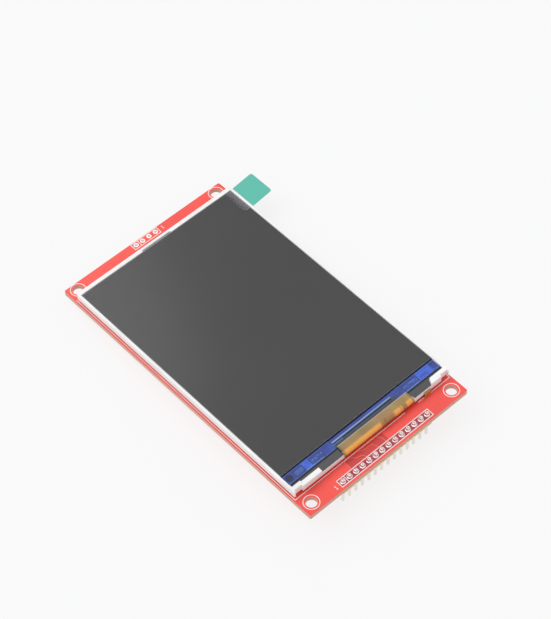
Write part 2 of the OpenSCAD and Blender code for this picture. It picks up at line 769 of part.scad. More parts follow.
// A resistor or capacitor: a body between two slightly thicker metal ends
module chip_part(h) {
    skin = 0.03;
    block([-chip_part_l / 2 + skin, -chip_part_w / 2 + skin, skin], [chip_part_l / 2 - skin, chip_part_w / 2 - skin, h - skin]);
    for (s = [0, 180]) rotate([0, 0, s])
        block([chip_part_l / 2 - end_cap_l, -chip_part_w / 2, 0], [chip_part_l / 2, chip_part_w / 2, h]);
}

// Places of the small parts, as [across the board, beyond the row of small parts, turn]
regulator_place = [-19.5, 2, 90];
transistor_place = [16.5, 0, 90];
resistor_places = [[-9, 0, 90], [-6, 0, 90], [-3, 0, 90], [0, 0, 90], [3, 0, 90], [13, 5, 0], [13, 8, 0]];
capacitor_places = [[-24, 2, 90], [-15, 2, 90], [8, 0, 90], [20, 5, 0]];

module placed(places) {
    for (p = places) on_back(p[0], end_y + parts_from_end + p[1], p[2]) children();
}

module regulator() {
    color([0.1, 0.1, 0.1]) placed([regulator_place]) small_package();
}

module backlight_transistor() {
    color([0.1, 0.1, 0.1]) placed([transistor_place]) small_package();
}

module resistors() {
    color([0.12, 0.12, 0.12]) placed(resistor_places) chip_part(resistor_h);
}

module capacitors() {
    color([0.65, 0.5, 0.35]) placed(capacitor_places) chip_part(capacitor_h);
}

// ---------- the module ----------

pcb();
header_body();
for (i = pins)
    header_pin(i);
header_solder();
foam_tape(-1);  // foam_tape_left
foam_tape(1);  // foam_tape_right
backlight_frame();
reflector_sheet();
light_guide();
film(diffuser_z, diffuser_t, [0.95, 0.95, 0.95]);  // diffuser_film
film(lower_prism_z, prism_t, [0.9, 0.93, 0.95]);  // lower_prism_film
film(upper_prism_z, prism_t, [0.85, 0.9, 0.93]);  // upper_prism_film
rim_tape();
lamp_flex();
for (i = [1 : lamp_count])
    lamp(i);
shading_tape();
polarizer(glass_y0, rear_polarizer_z, [0.3, 0.3, 0.32]);  // rear_polarizer
array_glass();
color_filter_glass();
polarizer(filter_y0, front_polarizer_z, [0.2, 0.2, 0.21]);  // front_polarizer
driver_chip();
display_flex();
protective_film();
pull_tab();
card_socket_base();
card_socket_shell();
for (i = [1 : contact_count])
    card_contact(i);
regulator();
backlight_transistor();
resistors();
capacitors();
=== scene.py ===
"""Looks of a colour display module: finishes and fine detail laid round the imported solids, and a studio."""

import json
import math
import random

import bmesh
import bpy
from bpy.props import FloatProperty, FloatVectorProperty, IntProperty, PointerProperty
from mathutils import Euler, Matrix, Vector


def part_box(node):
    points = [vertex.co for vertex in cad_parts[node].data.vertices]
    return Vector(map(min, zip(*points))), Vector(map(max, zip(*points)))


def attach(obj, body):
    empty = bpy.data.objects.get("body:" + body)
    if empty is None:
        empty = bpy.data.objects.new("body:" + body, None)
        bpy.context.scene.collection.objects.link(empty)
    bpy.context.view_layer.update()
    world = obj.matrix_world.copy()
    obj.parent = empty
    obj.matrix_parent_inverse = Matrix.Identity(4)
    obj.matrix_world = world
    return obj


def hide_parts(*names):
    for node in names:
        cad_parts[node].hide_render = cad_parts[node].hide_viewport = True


bl_info = {
    "name": "Display module looks",
    "version": (1, 0, 0),
    "blender": (4, 5, 0),
    "location": "View3D > Sidebar > Display module",
    "description": "Finishes, fine detail and a studio for a display module on a circuit board",
    "category": "Object",
}

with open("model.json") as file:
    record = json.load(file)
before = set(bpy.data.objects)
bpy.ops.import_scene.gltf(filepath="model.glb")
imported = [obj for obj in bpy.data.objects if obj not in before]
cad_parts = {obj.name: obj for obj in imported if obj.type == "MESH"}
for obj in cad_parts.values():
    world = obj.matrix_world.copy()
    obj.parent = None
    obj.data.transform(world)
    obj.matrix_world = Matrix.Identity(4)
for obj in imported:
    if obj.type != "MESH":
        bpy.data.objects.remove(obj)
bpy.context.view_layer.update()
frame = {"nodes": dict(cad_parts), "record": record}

MM = 0.001
BODY = "root"
PITCH = 2.54 * MM
PIN_COUNT = sum(node.startswith("header_pin_") for node in frame["nodes"])
CONTACT_COUNT = sum(node.startswith("card_contact_") for node in frame["nodes"])
CARD_PIN_COUNT = 4

# Heights of the flat layers on the board. They differ, so that no two tops share a plane where layers cross.
COPPER = 0.012 * MM
BACK_TRACE = 0.014 * MM
VIA = 0.022 * MM
PAD = 0.035 * MM


def box(node):
    """Lowest and highest corner of a CAD node."""
    low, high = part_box(node)
    return Vector(low), Vector(high)


def middle(node):
    low, high = box(node)
    return (low + high) / 2


def footprint(node):
    """Lowest and highest x, and lowest and highest y, of a CAD node."""
    low, high = box(node)
    return low.x, high.x, low.y, high.y


def mount(name):
    """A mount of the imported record."""
    return next(m for m in frame["record"]["mounts"] if m["name"] == name)


# ---------- settings ----------

def length(name, description, default, low=0.0, high=0.5):
    return FloatProperty(name=name, description=description, default=default, min=low, max=high,
                         subtype="DISTANCE", unit="LENGTH", precision=5)


def share(name, description, default, high=1.0):
    return FloatProperty(name=name, description=description, default=default, min=0, max=high)


def colour(name, what, default):
    return FloatVectorProperty(name=name, description="Colour of " + what, default=default, min=0, max=1,
                               size=3, subtype="COLOR")


class DISPLAY_PG_board(bpy.types.PropertyGroup):
    mask: colour("Solder mask", "the board's solder mask", (0.95, 0.085, 0.065))
    copper_mask: colour("Masked copper", "the mask over solid copper", (0.6, 0.05, 0.045))
    trace_mask: colour("Masked trace", "the mask over a fine trace", (0.95, 0.16, 0.13))
    pad_zone: colour("Pad zone", "the mask between the header pads", (0.42, 0.03, 0.06))
    laminate: colour("Laminate", "the board's cut edge", (0.72, 0.41, 0.32))
    ink: colour("Printed ink", "the printed lines", (0.95, 0.87, 0.86))
    ink_line: length("Ink line", "Width of a printed line", 0.25 * MM)
    ink_depth: length("Ink depth", "Thickness of the printed ink", 0.03 * MM)
    ring_radius: length("Hole ring", "Middle radius of the ring printed round a mounting hole", 2.35 * MM)
    trace_width: length("Trace width", "Width of a copper trace", 0.3 * MM)


class DISPLAY_PG_panel(bpy.types.PropertyGroup):
    frame_colour: colour("Frame", "the moulded frame", (0.95, 0.94, 0.94))
    frame_bevel: length("Frame edge", "Radius of the frame's moulded edges", 0.06 * MM)
    screen: colour("Screen", "the dark front polarizer", (0.044, 0.042, 0.044))
    ledge: colour("Ledge", "the bare glass ledge", (0.022, 0.04, 0.24))
    ledge_light: colour("Ledge fields", "the brighter fields on the ledge", (0.04, 0.12, 0.66))
    # Also colours the dark lines along the glass's edges; the one at the glass's foot is painted shade.
    ledge_dark: colour("Ledge lines", "the dark outlines on the ledge", (0.008, 0.012, 0.06))
    ledge_line: colour("Ledge marks", "the pale lines and marks on the ledge", (0.13, 0.3, 0.55))
    ledge_band: colour("Ledge leads", "the dense leads between chip and flex", (0.035, 0.05, 0.075))
    chip: colour("Chip", "the driver chip's back", (0.17, 0.25, 0.5))
    tape: colour("Shading tape", "the black film tape", (0.07, 0.068, 0.075))
    tab: colour("Pull tab", "the pull tab", (0.075, 0.48, 0.37))


class DISPLAY_PG_flex(bpy.types.PropertyGroup):
    tan: colour("Flex", "the flex over its copper", (0.33, 0.22, 0.07))
    # The bend's colour is a painted highlight.
    bright: colour("Flex bend", "the flex where it bends", (0.9, 0.38, 0.05))
    dark: colour("Flex shade", "the flex over bare film", (0.22, 0.1, 0.035))
    amber: colour("Lamp flex", "the lamp flex's tail", (0.46, 0.24, 0.04))
    bond_gap: length("Bond gap", "Distance from the driver chip to the flex's bonded end", 1.35 * MM)
    ramp: length("Ramp", "Length over which the flex comes down to the board", 1.9 * MM)
    pads: length("Pads", "Length of the flex's end that is soldered to the board", 4.0 * MM)
    ripple: length("Ripple", "Height of the ripples across the bend", 0.03 * MM)
    strips: IntProperty(name="Strips", description="Number of facets across the flex",
                        default=54, min=10, max=200)


class DISPLAY_PG_header(bpy.types.PropertyGroup):
    plastic: colour("Strip", "the moulded strip", (0.9, 0.6, 0.13))
    pin: colour("Pin", "the tinned pins", (0.78, 0.75, 0.66))
    solder: colour("Solder", "the solder", (0.88, 0.87, 0.85))
    solder_height: length("Solder height", "Height of a solder joint", 1.0 * MM)
    solder_neck: length("Solder neck", "Radius of a solder joint at the pin", 0.52 * MM)
    pad_radius: length("Pad radius", "Radius of a header pad", 0.87 * MM)


class DISPLAY_PG_socket(bpy.types.PropertyGroup):
    steel: colour("Shell", "the socket's steel shell", (0.72, 0.72, 0.73))
    plastic: colour("Base", "the socket's moulded base", (0.022, 0.022, 0.024))
    edge: length("Folded edge", "Radius of the shell's sheared edges", 0.03 * MM)
    tail_solder: length("Tail solder", "Half length of the solder at a contact's tail", 0.75 * MM)
    tab_solder: length("Tab solder", "Half length of the solder at a shell tab", 1.7 * MM)


class DISPLAY_PG_small(bpy.types.PropertyGroup):
    glaze: colour("Resistor", "a resistor's glazed top", (0.025, 0.025, 0.028))
    ceramic: colour("Resistor body", "a resistor's ceramic sides", (0.85, 0.85, 0.83))
    dielectric: colour("Capacitor", "a capacitor's body", (0.38, 0.25, 0.13))
    package: colour("Package", "the moulded packages", (0.02, 0.02, 0.022))
    cap: length("Metal end", "Length of a chip part's metal end", 0.42 * MM)
    lead: length("Lead", "Length of a package's lead, seen from above", 0.62 * MM)


class DISPLAY_PG_stage(bpy.types.PropertyGroup):
    floor_colour: colour("Floor", "the floor", (0.97, 0.97, 0.972))
    backdrop: colour("Backdrop", "what is seen all round", (0.955, 0.955, 0.957))
    floor_size: length("Floor size", "Width of the floor", 6.0, 1.0, 20.0)
    lens: FloatProperty(name="Lens", description="Focal length of the camera in millimetres",
                        default=122.1, min=20, max=300)
    camera_place: FloatVectorProperty(name="Camera place", description="Where the camera stands", size=3,
                                      default=(-0.23373, -0.28, 0.49603), subtype="TRANSLATION",
                                      unit="LENGTH", precision=5)
    camera_turn: FloatVectorProperty(name="Camera turn", description="How the camera is turned", size=3,
                                     default=[math.radians(turn) for turn in (37.091, 1.395, -42.42)],
                                     subtype="EULER", unit="ROTATION", precision=4)
    fill: share("Fill", "Strength of the light from all round", 0.66, 2)
    shade: share("Shadow", "How strongly the floor shows shadows", 0.15)
    key: share("Key", "Strength of the broad light from above", 1.1, 10)
    window: share("Window", "Power of the small light beyond the far end, in watts", 0.3, 10)
    through: share("Light through floor", "Share of the light from below that passes the floor", 0.8)


def settings(name):
    return getattr(bpy.context.scene, "display_" + name)


# ---------- materials ----------

def tinted(base, factor):
    return tuple(min(1.0, c * factor) for c in base)


def add_node(tree, kind, inputs=None, **values):
    """A shader node with its settings and with values or links at its inputs."""
    made = tree.nodes.new("ShaderNode" + kind)
    for key, value in values.items():
        setattr(made, key, value)
    for key, value in (inputs or {}).items():
        if isinstance(value, bpy.types.NodeSocket):
            tree.links.new(value, made.inputs[key])
        else:
            made.inputs[key].default_value = value
    return made


class Shader:
    """A node material under construction: one Principled shader and what feeds it."""

    def __init__(self, name, base, roughness, metallic=0.0):
        self.material = bpy.data.materials.new(name)
        self.material.use_nodes = True
        self.tree = self.material.node_tree
        self.surface = self.tree.nodes["Principled BSDF"]
        self.place = self.tree.nodes.new("ShaderNodeTexCoord").outputs["Object"]
        self.surface.inputs["Base Color"].default_value = (*base, 1)
        self.surface.inputs["Roughness"].default_value = roughness
        self.surface.inputs["Metallic"].default_value = metallic

    def node(self, kind, inputs=None, **values):
        return add_node(self.tree, kind, inputs, **values)

    def feed(self, socket, value):
        self.tree.links.new(value, self.surface.inputs[socket])

    def paint(self, colour):
        self.feed("Base Color", colour)

    def stretched(self, scale, turn=(0, 0, 0)):
        """Object coordinates scaled along each axis."""
        made = self.node("Mapping", {"Vector": self.place, "Scale": scale, "Rotation": turn})
        return made.outputs["Vector"]

    def noise(self, scale, detail=3, vector=None):
        return self.node("TexNoise", {"Vector": vector or self.place, "Scale": scale,
                                      "Detail": detail}).outputs["Fac"]

    def streaks(self, scale, detail=2, turn=(0, 0, 0)):
        """Noise with its own scale along each axis."""
        return self.noise(1.0, detail, self.stretched(scale, turn))

    def wave(self, scale, distortion, way):
        return self.node("TexWave", {"Vector": self.place, "Scale": scale, "Distortion": distortion},
                         bands_direction=way).outputs["Fac"]

    def maths(self, operation, a, b=0.0, c=0.0):
        return self.node("Math", {0: a, 1: b, 2: c}, operation=operation).outputs["Value"]

    def both(self, a, b):
        return self.maths("MULTIPLY", a, b)

    def span(self, value, low, high, to_low=0.0, to_high=1.0):
        """value from low to high becomes to_low to to_high, and stops there."""
        made = self.node("MapRange", {"Value": value, "From Min": low, "From Max": high,
                                      "To Min": to_low, "To Max": to_high}, clamp=True)
        return made.outputs["Result"]

    def mix(self, factor, a, b):
        """Colour a where the factor is 0, and colour b where it is 1."""
        a, b = (c if isinstance(c, bpy.types.NodeSocket) else (*c, 1) for c in (a, b))
        return self.node("Mix", {0: factor, 6: a, 7: b}, data_type="RGBA").outputs[2]

    def layers(self, tone, *over):
        """Lays colours over a tone, each where its own factor is 1."""
        for factor, tint in over:
            tone = self.mix(factor, tone, tint)
        return tone

    def shades(self, base, factor, dark, light, low=0.3, high=0.7):
        """A darker tint of base where the factor is low, and a lighter one where it is high."""
        return self.mix(self.span(factor, low, high), tinted(base, dark), tinted(base, light))

    def axes(self):
        parts = self.node("SeparateXYZ", {"Vector": self.place}).outputs
        return parts["X"], parts["Y"], parts["Z"]

    def inside(self, value, low, high, soft=0.05 * MM):
        """1 where value lies between low and high, with soft edges."""
        rising = self.span(value, low - soft, low + soft)
        falling = self.span(value, high - soft, high + soft, 1, 0)
        return self.both(rising, falling)

    def margin(self, value, low, high):
        """How far value lies inside the nearer of two limits."""
        return self.maths("MINIMUM", self.maths("SUBTRACT", value, low), self.maths("SUBTRACT", high, value))

    def bump(self, height, strength, depth):
        made = self.node("Bump", {"Height": height, "Strength": strength, "Distance": depth})
        self.feed("Normal", made.outputs["Normal"])

    def vary_roughness(self, factor, low, high):
        self.feed("Roughness", self.span(factor, 0.3, 0.7, low, high))

    def coat(self, weight, roughness):
        self.surface.inputs["Coat Weight"].default_value = weight
        self.surface.inputs["Coat Roughness"].default_value = roughness


def moulded(name, base, roughness, grain=9000, depth=0.004 * MM):
    """Moulded plastic: fine grain and slightly uneven gloss and colour."""
    s = Shader(name, base, roughness)
    fine = s.noise(grain, 4)
    s.paint(s.shades(base, s.noise(180, 2), 0.94, 1.03))
    s.vary_roughness(fine, roughness - 0.06, roughness + 0.08)
    s.bump(fine, 0.35, depth)
    return s.material


def sheet_metal(name, base, roughness, along=(60, 2500, 2500)):
    """Rolled metal: fine drawn lines, with smudges that change its gloss."""
    s = Shader(name, base, roughness, 1.0)
    lines = s.streaks(along, 3)
    smudge = s.noise(260)
    drawn = s.shades(base, lines, 0.9, 1.04, 0.35, 0.65)
    s.paint(s.mix(s.span(smudge, 0.35, 0.65, 0, 0.5), drawn, tinted(base, 0.97)))
    s.vary_roughness(smudge, roughness - 0.03, roughness + 0.05)
    s.bump(lines, 0.25, 0.004 * MM)
    return s.material


def solder_metal(name, base):
    """Solder: bright, slightly frosted, with shallow dimples."""
    s = Shader(name, base, 0.3, 1.0)
    frost = s.noise(5200)
    s.paint(s.shades(base, frost, 0.82, 1.1, 0.35, 0.65))
    s.vary_roughness(frost, 0.24, 0.46)
    s.bump(s.noise(1300, 2), 0.5, 0.05 * MM)
    return s.material


def film_plastic(name, base, roughness):
    """Plastic film: smooth, with faint rolling streaks."""
    s = Shader(name, base, roughness)
    rolled = s.streaks((40, 900, 900))
    s.paint(s.shades(base, rolled, 0.93, 1.05))
    s.vary_roughness(rolled, roughness - 0.05, roughness + 0.08)
    s.bump(rolled, 0.15, 0.01 * MM)
    return s.material


def solder_mask(name, base, gloss=0.3):
    """Solder mask: a thick glossy lacquer over the weave of the laminate and the copper below."""
    s = Shader(name, base, gloss)
    weave = s.maths("ADD", s.wave(900, 0.6, "X"), s.wave(900, 0.6, "Y"))
    fine = s.noise(1500)
    s.paint(s.shades(base, s.noise(70, 4), 0.93, 1.04, 0.35, 0.65))
    s.vary_roughness(fine, gloss - 0.05, gloss + 0.1)
    s.bump(s.maths("MULTIPLY_ADD", weave, 0.2, fine), 0.12, 0.01 * MM)
    s.coat(0.15, 0.15)
    return s.material


def laminate_edge(name, base):
    """Cut glass-epoxy: pale fibres in layers."""
    s = Shader(name, base, 0.6)
    layers = s.streaks((900, 900, 9000), 3)
    s.paint(s.shades(base, layers, 0.8, 1.15, 0.35, 0.65))
    s.bump(layers, 0.4, 0.02 * MM)
    return s.material


def printed_ink(name, base):
    """Screen-printed ink: slightly rough and patchy."""
    s = Shader(name, base, 0.55)
    patch = s.noise(3000, 4)
    s.paint(s.shades(base, patch, 0.88, 1.05, 0.35))
    s.bump(patch, 0.3, 0.008 * MM)
    return s.material


def screen_glass(name, base):
    """The front polarizer: nearly black, with a slightly uneven gloss."""
    s = Shader(name, base, 0.17)
    cloud = s.noise(14, 2)
    s.paint(s.shades(base, cloud, 0.95, 1.05))
    s.vary_roughness(cloud, 0.16, 0.19)
    return s.material


def cover_film_finish(name):
    """The protective film: clear, with a faintly uneven gloss and a pale cut edge."""
    s = Shader(name, (0.8, 0.81, 0.84), 0.15)
    x, y, _ = s.axes()
    low, high = box("protective_film")
    from_edge = s.maths("MINIMUM", s.margin(x, low.x, high.x), s.margin(y, low.y, high.y))
    s.feed("Alpha", s.span(from_edge, 0, 0.15 * MM, 0.06, 0))
    s.vary_roughness(s.streaks((120, 30, 30), turn=(0, 0, 0.5)), 0.1, 0.2)
    return s.material


def ledge_glass(name):
    """The array glass: deep blue circuit layers on its bare ledge, and plain glass elsewhere."""
    look = settings("panel")
    s = Shader(name, look.ledge, 0.12)
    y = s.axes()[1]
    foot, top = box("array_glass")[0].y, box("color_filter_glass")[0].y
    blocks = s.node("TexBrick", {"Vector": s.stretched((400, 400, 400)), "Scale": 1.0, "Mortar Size": 0.05,
                                 "Brick Width": 1.1, "Row Height": 0.5, "Color1": (0, 0, 0, 1),
                                 "Color2": (0.5, 0.5, 0.5, 1), "Mortar": (1, 1, 1, 1)}).outputs["Color"]
    s.paint(s.layers(look.ledge,
                     (s.span(s.noise(240), 0.35, 0.7, 0, 0.5), look.ledge_light),
                     (s.both(blocks, 0.2), look.ledge_light),
                     # Dark lines along the colour-filter glass's edge and at the glass's own foot; the one at
                     # the foot is painted shade of the gap before the tape.
                     (s.inside(y, top - 0.35 * MM, top + 0.1 * MM), look.ledge_dark),
                     (s.inside(y, foot - 0.1 * MM, foot + 0.12 * MM), look.ledge_dark),
                     (s.span(y, top + 0.04 * MM, top + 0.1 * MM), (0.3, 0.34, 0.34))))
    s.coat(0.3, 0.05)
    return s.material


def circuit_layer(name, base):
    """One layer of the ledge's circuit: fine lines that shift its tone."""
    s = Shader(name, base, 0.16)
    s.paint(s.shades(base, s.streaks((4000, 700, 700)), 0.72, 1.25, 0.35, 0.65))
    s.coat(0.3, 0.05)
    return s.material


def black_tape(name, base):
    """The black tape over the frame's bar, with painted shade in the narrow gaps along its edges and beside
    the white block.
    """
    s = Shader(name, base, 0.42)
    x, y, _ = s.axes()
    glass, flex = box("array_glass")[0], box("display_flex")[0]
    rolled = s.streaks((30, 500, 500))
    # Painted shade: near black along the glass's edge, beside the flex and along the white block.
    gap_shade = s.maths("MAXIMUM", s.span(y, glass.y - 0.6 * MM, glass.y - 0.4 * MM),
                   s.inside(x, flex.x - 0.65 * MM, flex.x - 0.1 * MM))
    shade_by_block = s.both(s.inside(x, -26.5 * MM, -20 * MM), s.inside(y, -45.95 * MM, -45.6 * MM))
    shaded = s.maths("MAXIMUM", gap_shade, shade_by_block)
    s.paint(s.mix(shaded, s.shades(base, rolled, 0.93, 1.05), (0.004, 0.004, 0.006)))
    s.bump(rolled, 0.25, 0.01 * MM)
    return s.material


def flex_film(name, bend_y, base):
    """Amber flex: copper lanes under polyimide, with a painted orange highlight beyond the line where it
    bends.
    """
    look = settings("flex")
    s = Shader(name, base, 0.3)
    x, y, _ = s.axes()
    low, high = box("display_flex")
    bond = flex_bond_edge()
    deep = tinted(look.dark, 0.5)
    lanes = s.wave(420, 0.15, "X")
    wide = s.streaks((160, 30, 30))
    patch = s.inside(x, 3.3 * MM, 8.6 * MM, 0.5 * MM)
    bare_lane = s.inside(x, 11.7 * MM, 13.4 * MM, 0.3 * MM)
    # Painted shade: dark lines where the bent film is kinked.
    crease_shade = s.inside(s.streaks((520, 45, 45)), 0.61, 0.63, 0.01)
    # The bend's bright orange is a painted highlight, darker over the bare patch and lane.
    bend_highlight = s.layers(look.bright,
                    (s.both(s.maths("MAXIMUM", patch, bare_lane), 0.75), look.dark),
                    (s.both(crease_shade, 0.7), deep))
    s.paint(s.layers(s.shades(base, wide, 0.82, 1.2, 0.35, 0.65),
                     (s.both(s.span(lanes, 0.3, 0.7), 0.15), look.dark),
                     (s.both(patch, 0.45), (0.36, 0.17, 0.09)),
                     (s.span(y, bend_y + 0.35 * MM, bend_y - 0.35 * MM), bend_highlight),
                     (s.inside(s.margin(x, low.x, high.x), 0.2 * MM, 0.38 * MM), deep),
                     (s.inside(y, bond - 0.2 * MM, bond + 1 * MM), (0.5, 0.42, 0.33))))
    s.vary_roughness(wide, 0.22, 0.36)
    s.bump(s.maths("ADD", lanes, s.noise(700, 2)), 0.3, 0.01 * MM)
    s.coat(0.5, 0.12)
    return s.material


def tab_film(name):
    """The pull tab: teal where it hangs free, clear over the frame's rim, with a painted grey glint over the
    screen's corner.
    """
    base = settings("panel").tab
    s = Shader(name, base, 0.32)
    x = s.axes()[0]
    rim, screen = box("backlight_frame")[1].x, box("front_polarizer")[1].x
    free = s.span(x, rim + 0.1 * MM, rim + 0.22 * MM)
    # Painted glint: pale grey laid over the dark screen near its edge.
    screen_glint = s.both(s.span(x, screen - 2.6 * MM, screen, 0.02, 0.4), s.span(x, screen, screen + 0.1 * MM, 1, 0))
    streak = s.streaks((60, 500, 60), 3)
    s.paint(s.mix(free, (0.36, 0.36, 0.38), s.shades(base, streak, 0.97, 1.03)))
    s.feed("Alpha", s.maths("MAXIMUM", free, screen_glint))
    s.vary_roughness(streak, 0.26, 0.4)
    s.bump(streak, 0.1, 0.01 * MM)
    return s.material


def chip_silicon(name):
    """The driver chip's polished back: a pale reflection with fine lines, between darker edges."""
    base = settings("panel").chip
    s = Shader(name, base, 0.2, 0.2)
    y = s.axes()[1]
    low, high = box("driver_chip")
    lines = s.streaks((40, 2500, 2500))
    face = s.inside(y, low.y + 0.14 * MM, high.y - 0.1 * MM)
    s.paint(s.mix(face, tinted(base, 0.25), s.shades(base, lines, 0.95, 1.45)))
    s.bump(lines, 0.1, 0.004 * MM)
    return s.material


def floor_finish(name, base):
    """Plain pale floor with a soft shadow. From below it is clear, and it lets light up to the underside."""
    look = settings("stage")
    s = Shader(name, base, 0.9)
    s.surface.inputs["Specular IOR Level"].default_value = 0.0
    s.paint(s.shades(base, s.noise(60), 0.995 * look.shade, look.shade))
    s.surface.inputs["Emission Color"].default_value = (*base, 1)
    s.surface.inputs["Emission Strength"].default_value = 0.98 * (1 - look.shade)
    rays = s.node("LightPath").outputs
    unseen = s.both(s.maths("SUBTRACT", 1.0, rays["Is Camera Ray"]), look.through)
    below = s.maths("MAXIMUM", s.node("NewGeometry").outputs["Backfacing"], unseen)
    clear = s.node("BsdfTransparent").outputs["BSDF"]
    shown = s.node("MixShader", {0: below, 1: s.surface.outputs["BSDF"], 2: clear})
    s.tree.links.new(shown.outputs["Shader"], s.tree.nodes["Material Output"].inputs["Surface"])
    return s.material


# ---------- shaping helpers ----------

def add_object(name, data):
    made = bpy.data.objects.new(name, data)
    bpy.context.scene.collection.objects.link(made)
    return made


def mesh_object(bm, name, materials):
    """Turns a finished bmesh into an object."""
    mesh = bpy.data.meshes.new(name)
    bm.to_mesh(mesh)
    bm.free()
    for material in materials:
        mesh.materials.append(material)
    return add_object(name, mesh)


def place_piece(bm, name, materials, replaced=(), smooth=None):
    """A piece that rides with the module. Edges that turn by less than smooth, in degrees, look round."""
    if smooth is not None:
        for face in bm.faces:
            face.smooth = True
        for edge in bm.edges:
            edge.smooth = not (edge.is_manifold and edge.calc_face_angle(0) > math.radians(smooth))
    piece = mesh_object(bm, name, materials)
    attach(piece, BODY)
    if replaced:
        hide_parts(*replaced)


def solid_copy(node):
    """A bmesh of a CAD node with its loose triangles joined into flat faces."""
    bm = bmesh.new()
    bm.from_mesh(frame["nodes"][node].data)
    bmesh.ops.remove_doubles(bm, verts=bm.verts, dist=0.0005 * MM)
    bmesh.ops.dissolve_limit(bm, angle_limit=math.radians(0.5), verts=bm.verts, edges=bm.edges)
    return bm


def points_of(geometry):
    return [g for g in geometry if isinstance(g, bmesh.types.BMVert)]


def edges_of(geometry):
    return [g for g in geometry if isinstance(g, bmesh.types.BMEdge)]


def soften(bm, radius):
    """Rounds every sharp edge."""
    edges = [e for e in bm.edges if e.is_manifold and e.calc_face_angle(0) > math.radians(40)]
    bmesh.ops.bevel(bm, geom=edges, offset=radius, segments=2, affect="EDGES", profile=0.5,
                    clamp_overlap=True, material=-1)


def skin(node, name, materials, choose=None, bevel=0.0):
    """A piece that stands for a CAD node: the same form with softened edges and a finish for each face."""
    bm = solid_copy(node)
    if choose:
        for face in bm.faces:
            face.material_index = choose(face.calc_center_median(), face.normal)
    if bevel:
        soften(bm, bevel)
    place_piece(bm, name, materials, [node], 32)


def islands(bm):
    """Groups of points that are joined by edges."""
    left = set(bm.verts)
    groups = []
    while left:
        group, queue = set(), [left.pop()]
        while queue:
            v = queue.pop()
            group.add(v)
            for e in v.link_edges:
                other = e.other_vert(v)
                if other in left:
                    left.remove(other)
                    queue.append(other)
        groups.append(group)
    return groups


def chip_boxes(node):
    """Footprint of each separate solid of a node: its lowest and highest x, and its lowest and highest y."""
    bm = solid_copy(node)
    boxes = []
    for group in islands(bm):
        xs, ys = [v.co.x for v in group], [v.co.y for v in group]
        boxes.append((min(xs), max(xs), min(ys), max(ys)))
    bm.free()
    return boxes


def field(bm, x0, x1, y0, y1, z, depth):
    """A flat rectangle standing on height z."""
    centre = ((x0 + x1) / 2, (y0 + y1) / 2, z + depth / 2)
    size = Matrix.Diagonal((x1 - x0, y1 - y0, depth, 1))
    bmesh.ops.create_cube(bm, size=1.0, matrix=Matrix.Translation(centre) @ size)


def bar(bm, start, end, width, z, depth):
    """A line along X or Y that runs half its width past both ends, standing on height z."""
    half = width / 2
    field(bm, start[0] - half, end[0] + half, start[1] - half, end[1] + half, z, depth)


def ribbon(bm, points, width, z, depth, closed=False):
    """A flat line of even width through points, with mitred corners, standing on height z."""
    before = set(bm.faces)
    points = [Vector(p) for p in points]
    count = len(points)
    ways = [(points[(i + 1) % count] - points[i]).normalized() for i in range(count if closed else count - 1)]
    last = len(ways) - 1
    rims = []
    for i, point in enumerate(points):
        arriving = ways[i - 1 if closed else max(i - 1, 0)].orthogonal()
        leaving = ways[min(i, last)].orthogonal()
        side = (arriving + leaving) * (width / 2) / (1 + arriving.dot(leaving))
        rims.append((point + side, point - side))
    start = ends = [bm.verts.new((*place, z)) for place in rims[0]]
    edge = bm.edges.new(ends)
    for rim in rims[1:] + rims[:1] * closed:
        made = bmesh.ops.extrude_edge_only(bm, edges=[edge])["geom"]
        fresh = points_of(made)
        fresh.sort(key=lambda v: 0 if any(e.other_vert(v) is ends[0] for e in v.link_edges) else 1)
        for vert, place in zip(fresh, rim):
            vert.co = (*place, z)
        edge = next(e for e in edges_of(made) if set(e.verts) == set(fresh))
        ends = fresh
    if closed:
        bmesh.ops.weld_verts(bm, targetmap=dict(zip(ends, start)))
    sheet = [f for f in bm.faces if f not in before]
    made = bmesh.ops.extrude_face_region(bm, geom=sheet)["geom"]
    bmesh.ops.translate(bm, verts=points_of(made), vec=(0, 0, depth))
    bmesh.ops.recalc_face_normals(bm, faces=[f for f in bm.faces if f not in before])


def outline(bm, x0, x1, y0, y1, width, z, depth):
    ribbon(bm, [(x0, y0), (x1, y0), (x1, y1), (x0, y1)], width, z, depth, closed=True)


def revolve(bm, profile, centre, steps):
    """Turns a closed profile of (radius, height) points round an upright axis."""
    verts = [bm.verts.new((centre[0] + r, centre[1], z)) for r, z in profile]
    edges = [bm.edges.new(pair) for pair in zip(verts, verts[1:] + verts[:1])]
    bmesh.ops.spin(bm, geom=verts + edges, cent=(centre[0], centre[1], 0), axis=(0, 0, 1),
                   angle=math.tau, steps=steps, use_merge=True)


def washer(bm, centre, inner, outer, z, depth, steps=32):
    revolve(bm, [(inner, z), (outer, z), (outer, z + depth), (inner, z + depth)], centre, steps)


def via(bm, centre, back):
    """A small plated hole at the end of a trace on the back."""
    washer(bm, centre, 0.16 * MM, 0.36 * MM, back - VIA, VIA, 16)


def close_up(bm):
    """Merges doubled points and points every face outwards."""
    bmesh.ops.remove_doubles(bm, verts=bm.verts, dist=0.0004 * MM)
    bmesh.ops.recalc_face_normals(bm, faces=bm.faces)


def row(count, pitch=PITCH):
    """Places of a centred row."""
    return [(i - (count - 1) / 2) * pitch for i in range(count)]


# ---------- places on the module ----------

def mounting_holes():
    """Middles of the four mounting holes."""
    spacing = mount("mounting_holes")["dims"]
    x, y = spacing["spacing_x_mm"] / 2 * MM, spacing["spacing_y_mm"] / 2 * MM
    return [(sx * x, sy * y) for sx in (-1, 1) for sy in (-1, 1)]


def header_y():
    return middle("header_body").y


def card_row_y():
    """Middle line of the spare header holes."""
    return mount("spare_header_holes")["pos_m"][1]


def flex_bond_edge():
    """Where the flex's bonded end lies on the glass ledge."""
    return box("driver_chip")[0].y - settings("flex").bond_gap


# ---------- pieces ----------

class Build:
    """What every operator here shares."""
    bl_options = {"REGISTER", "UNDO"}


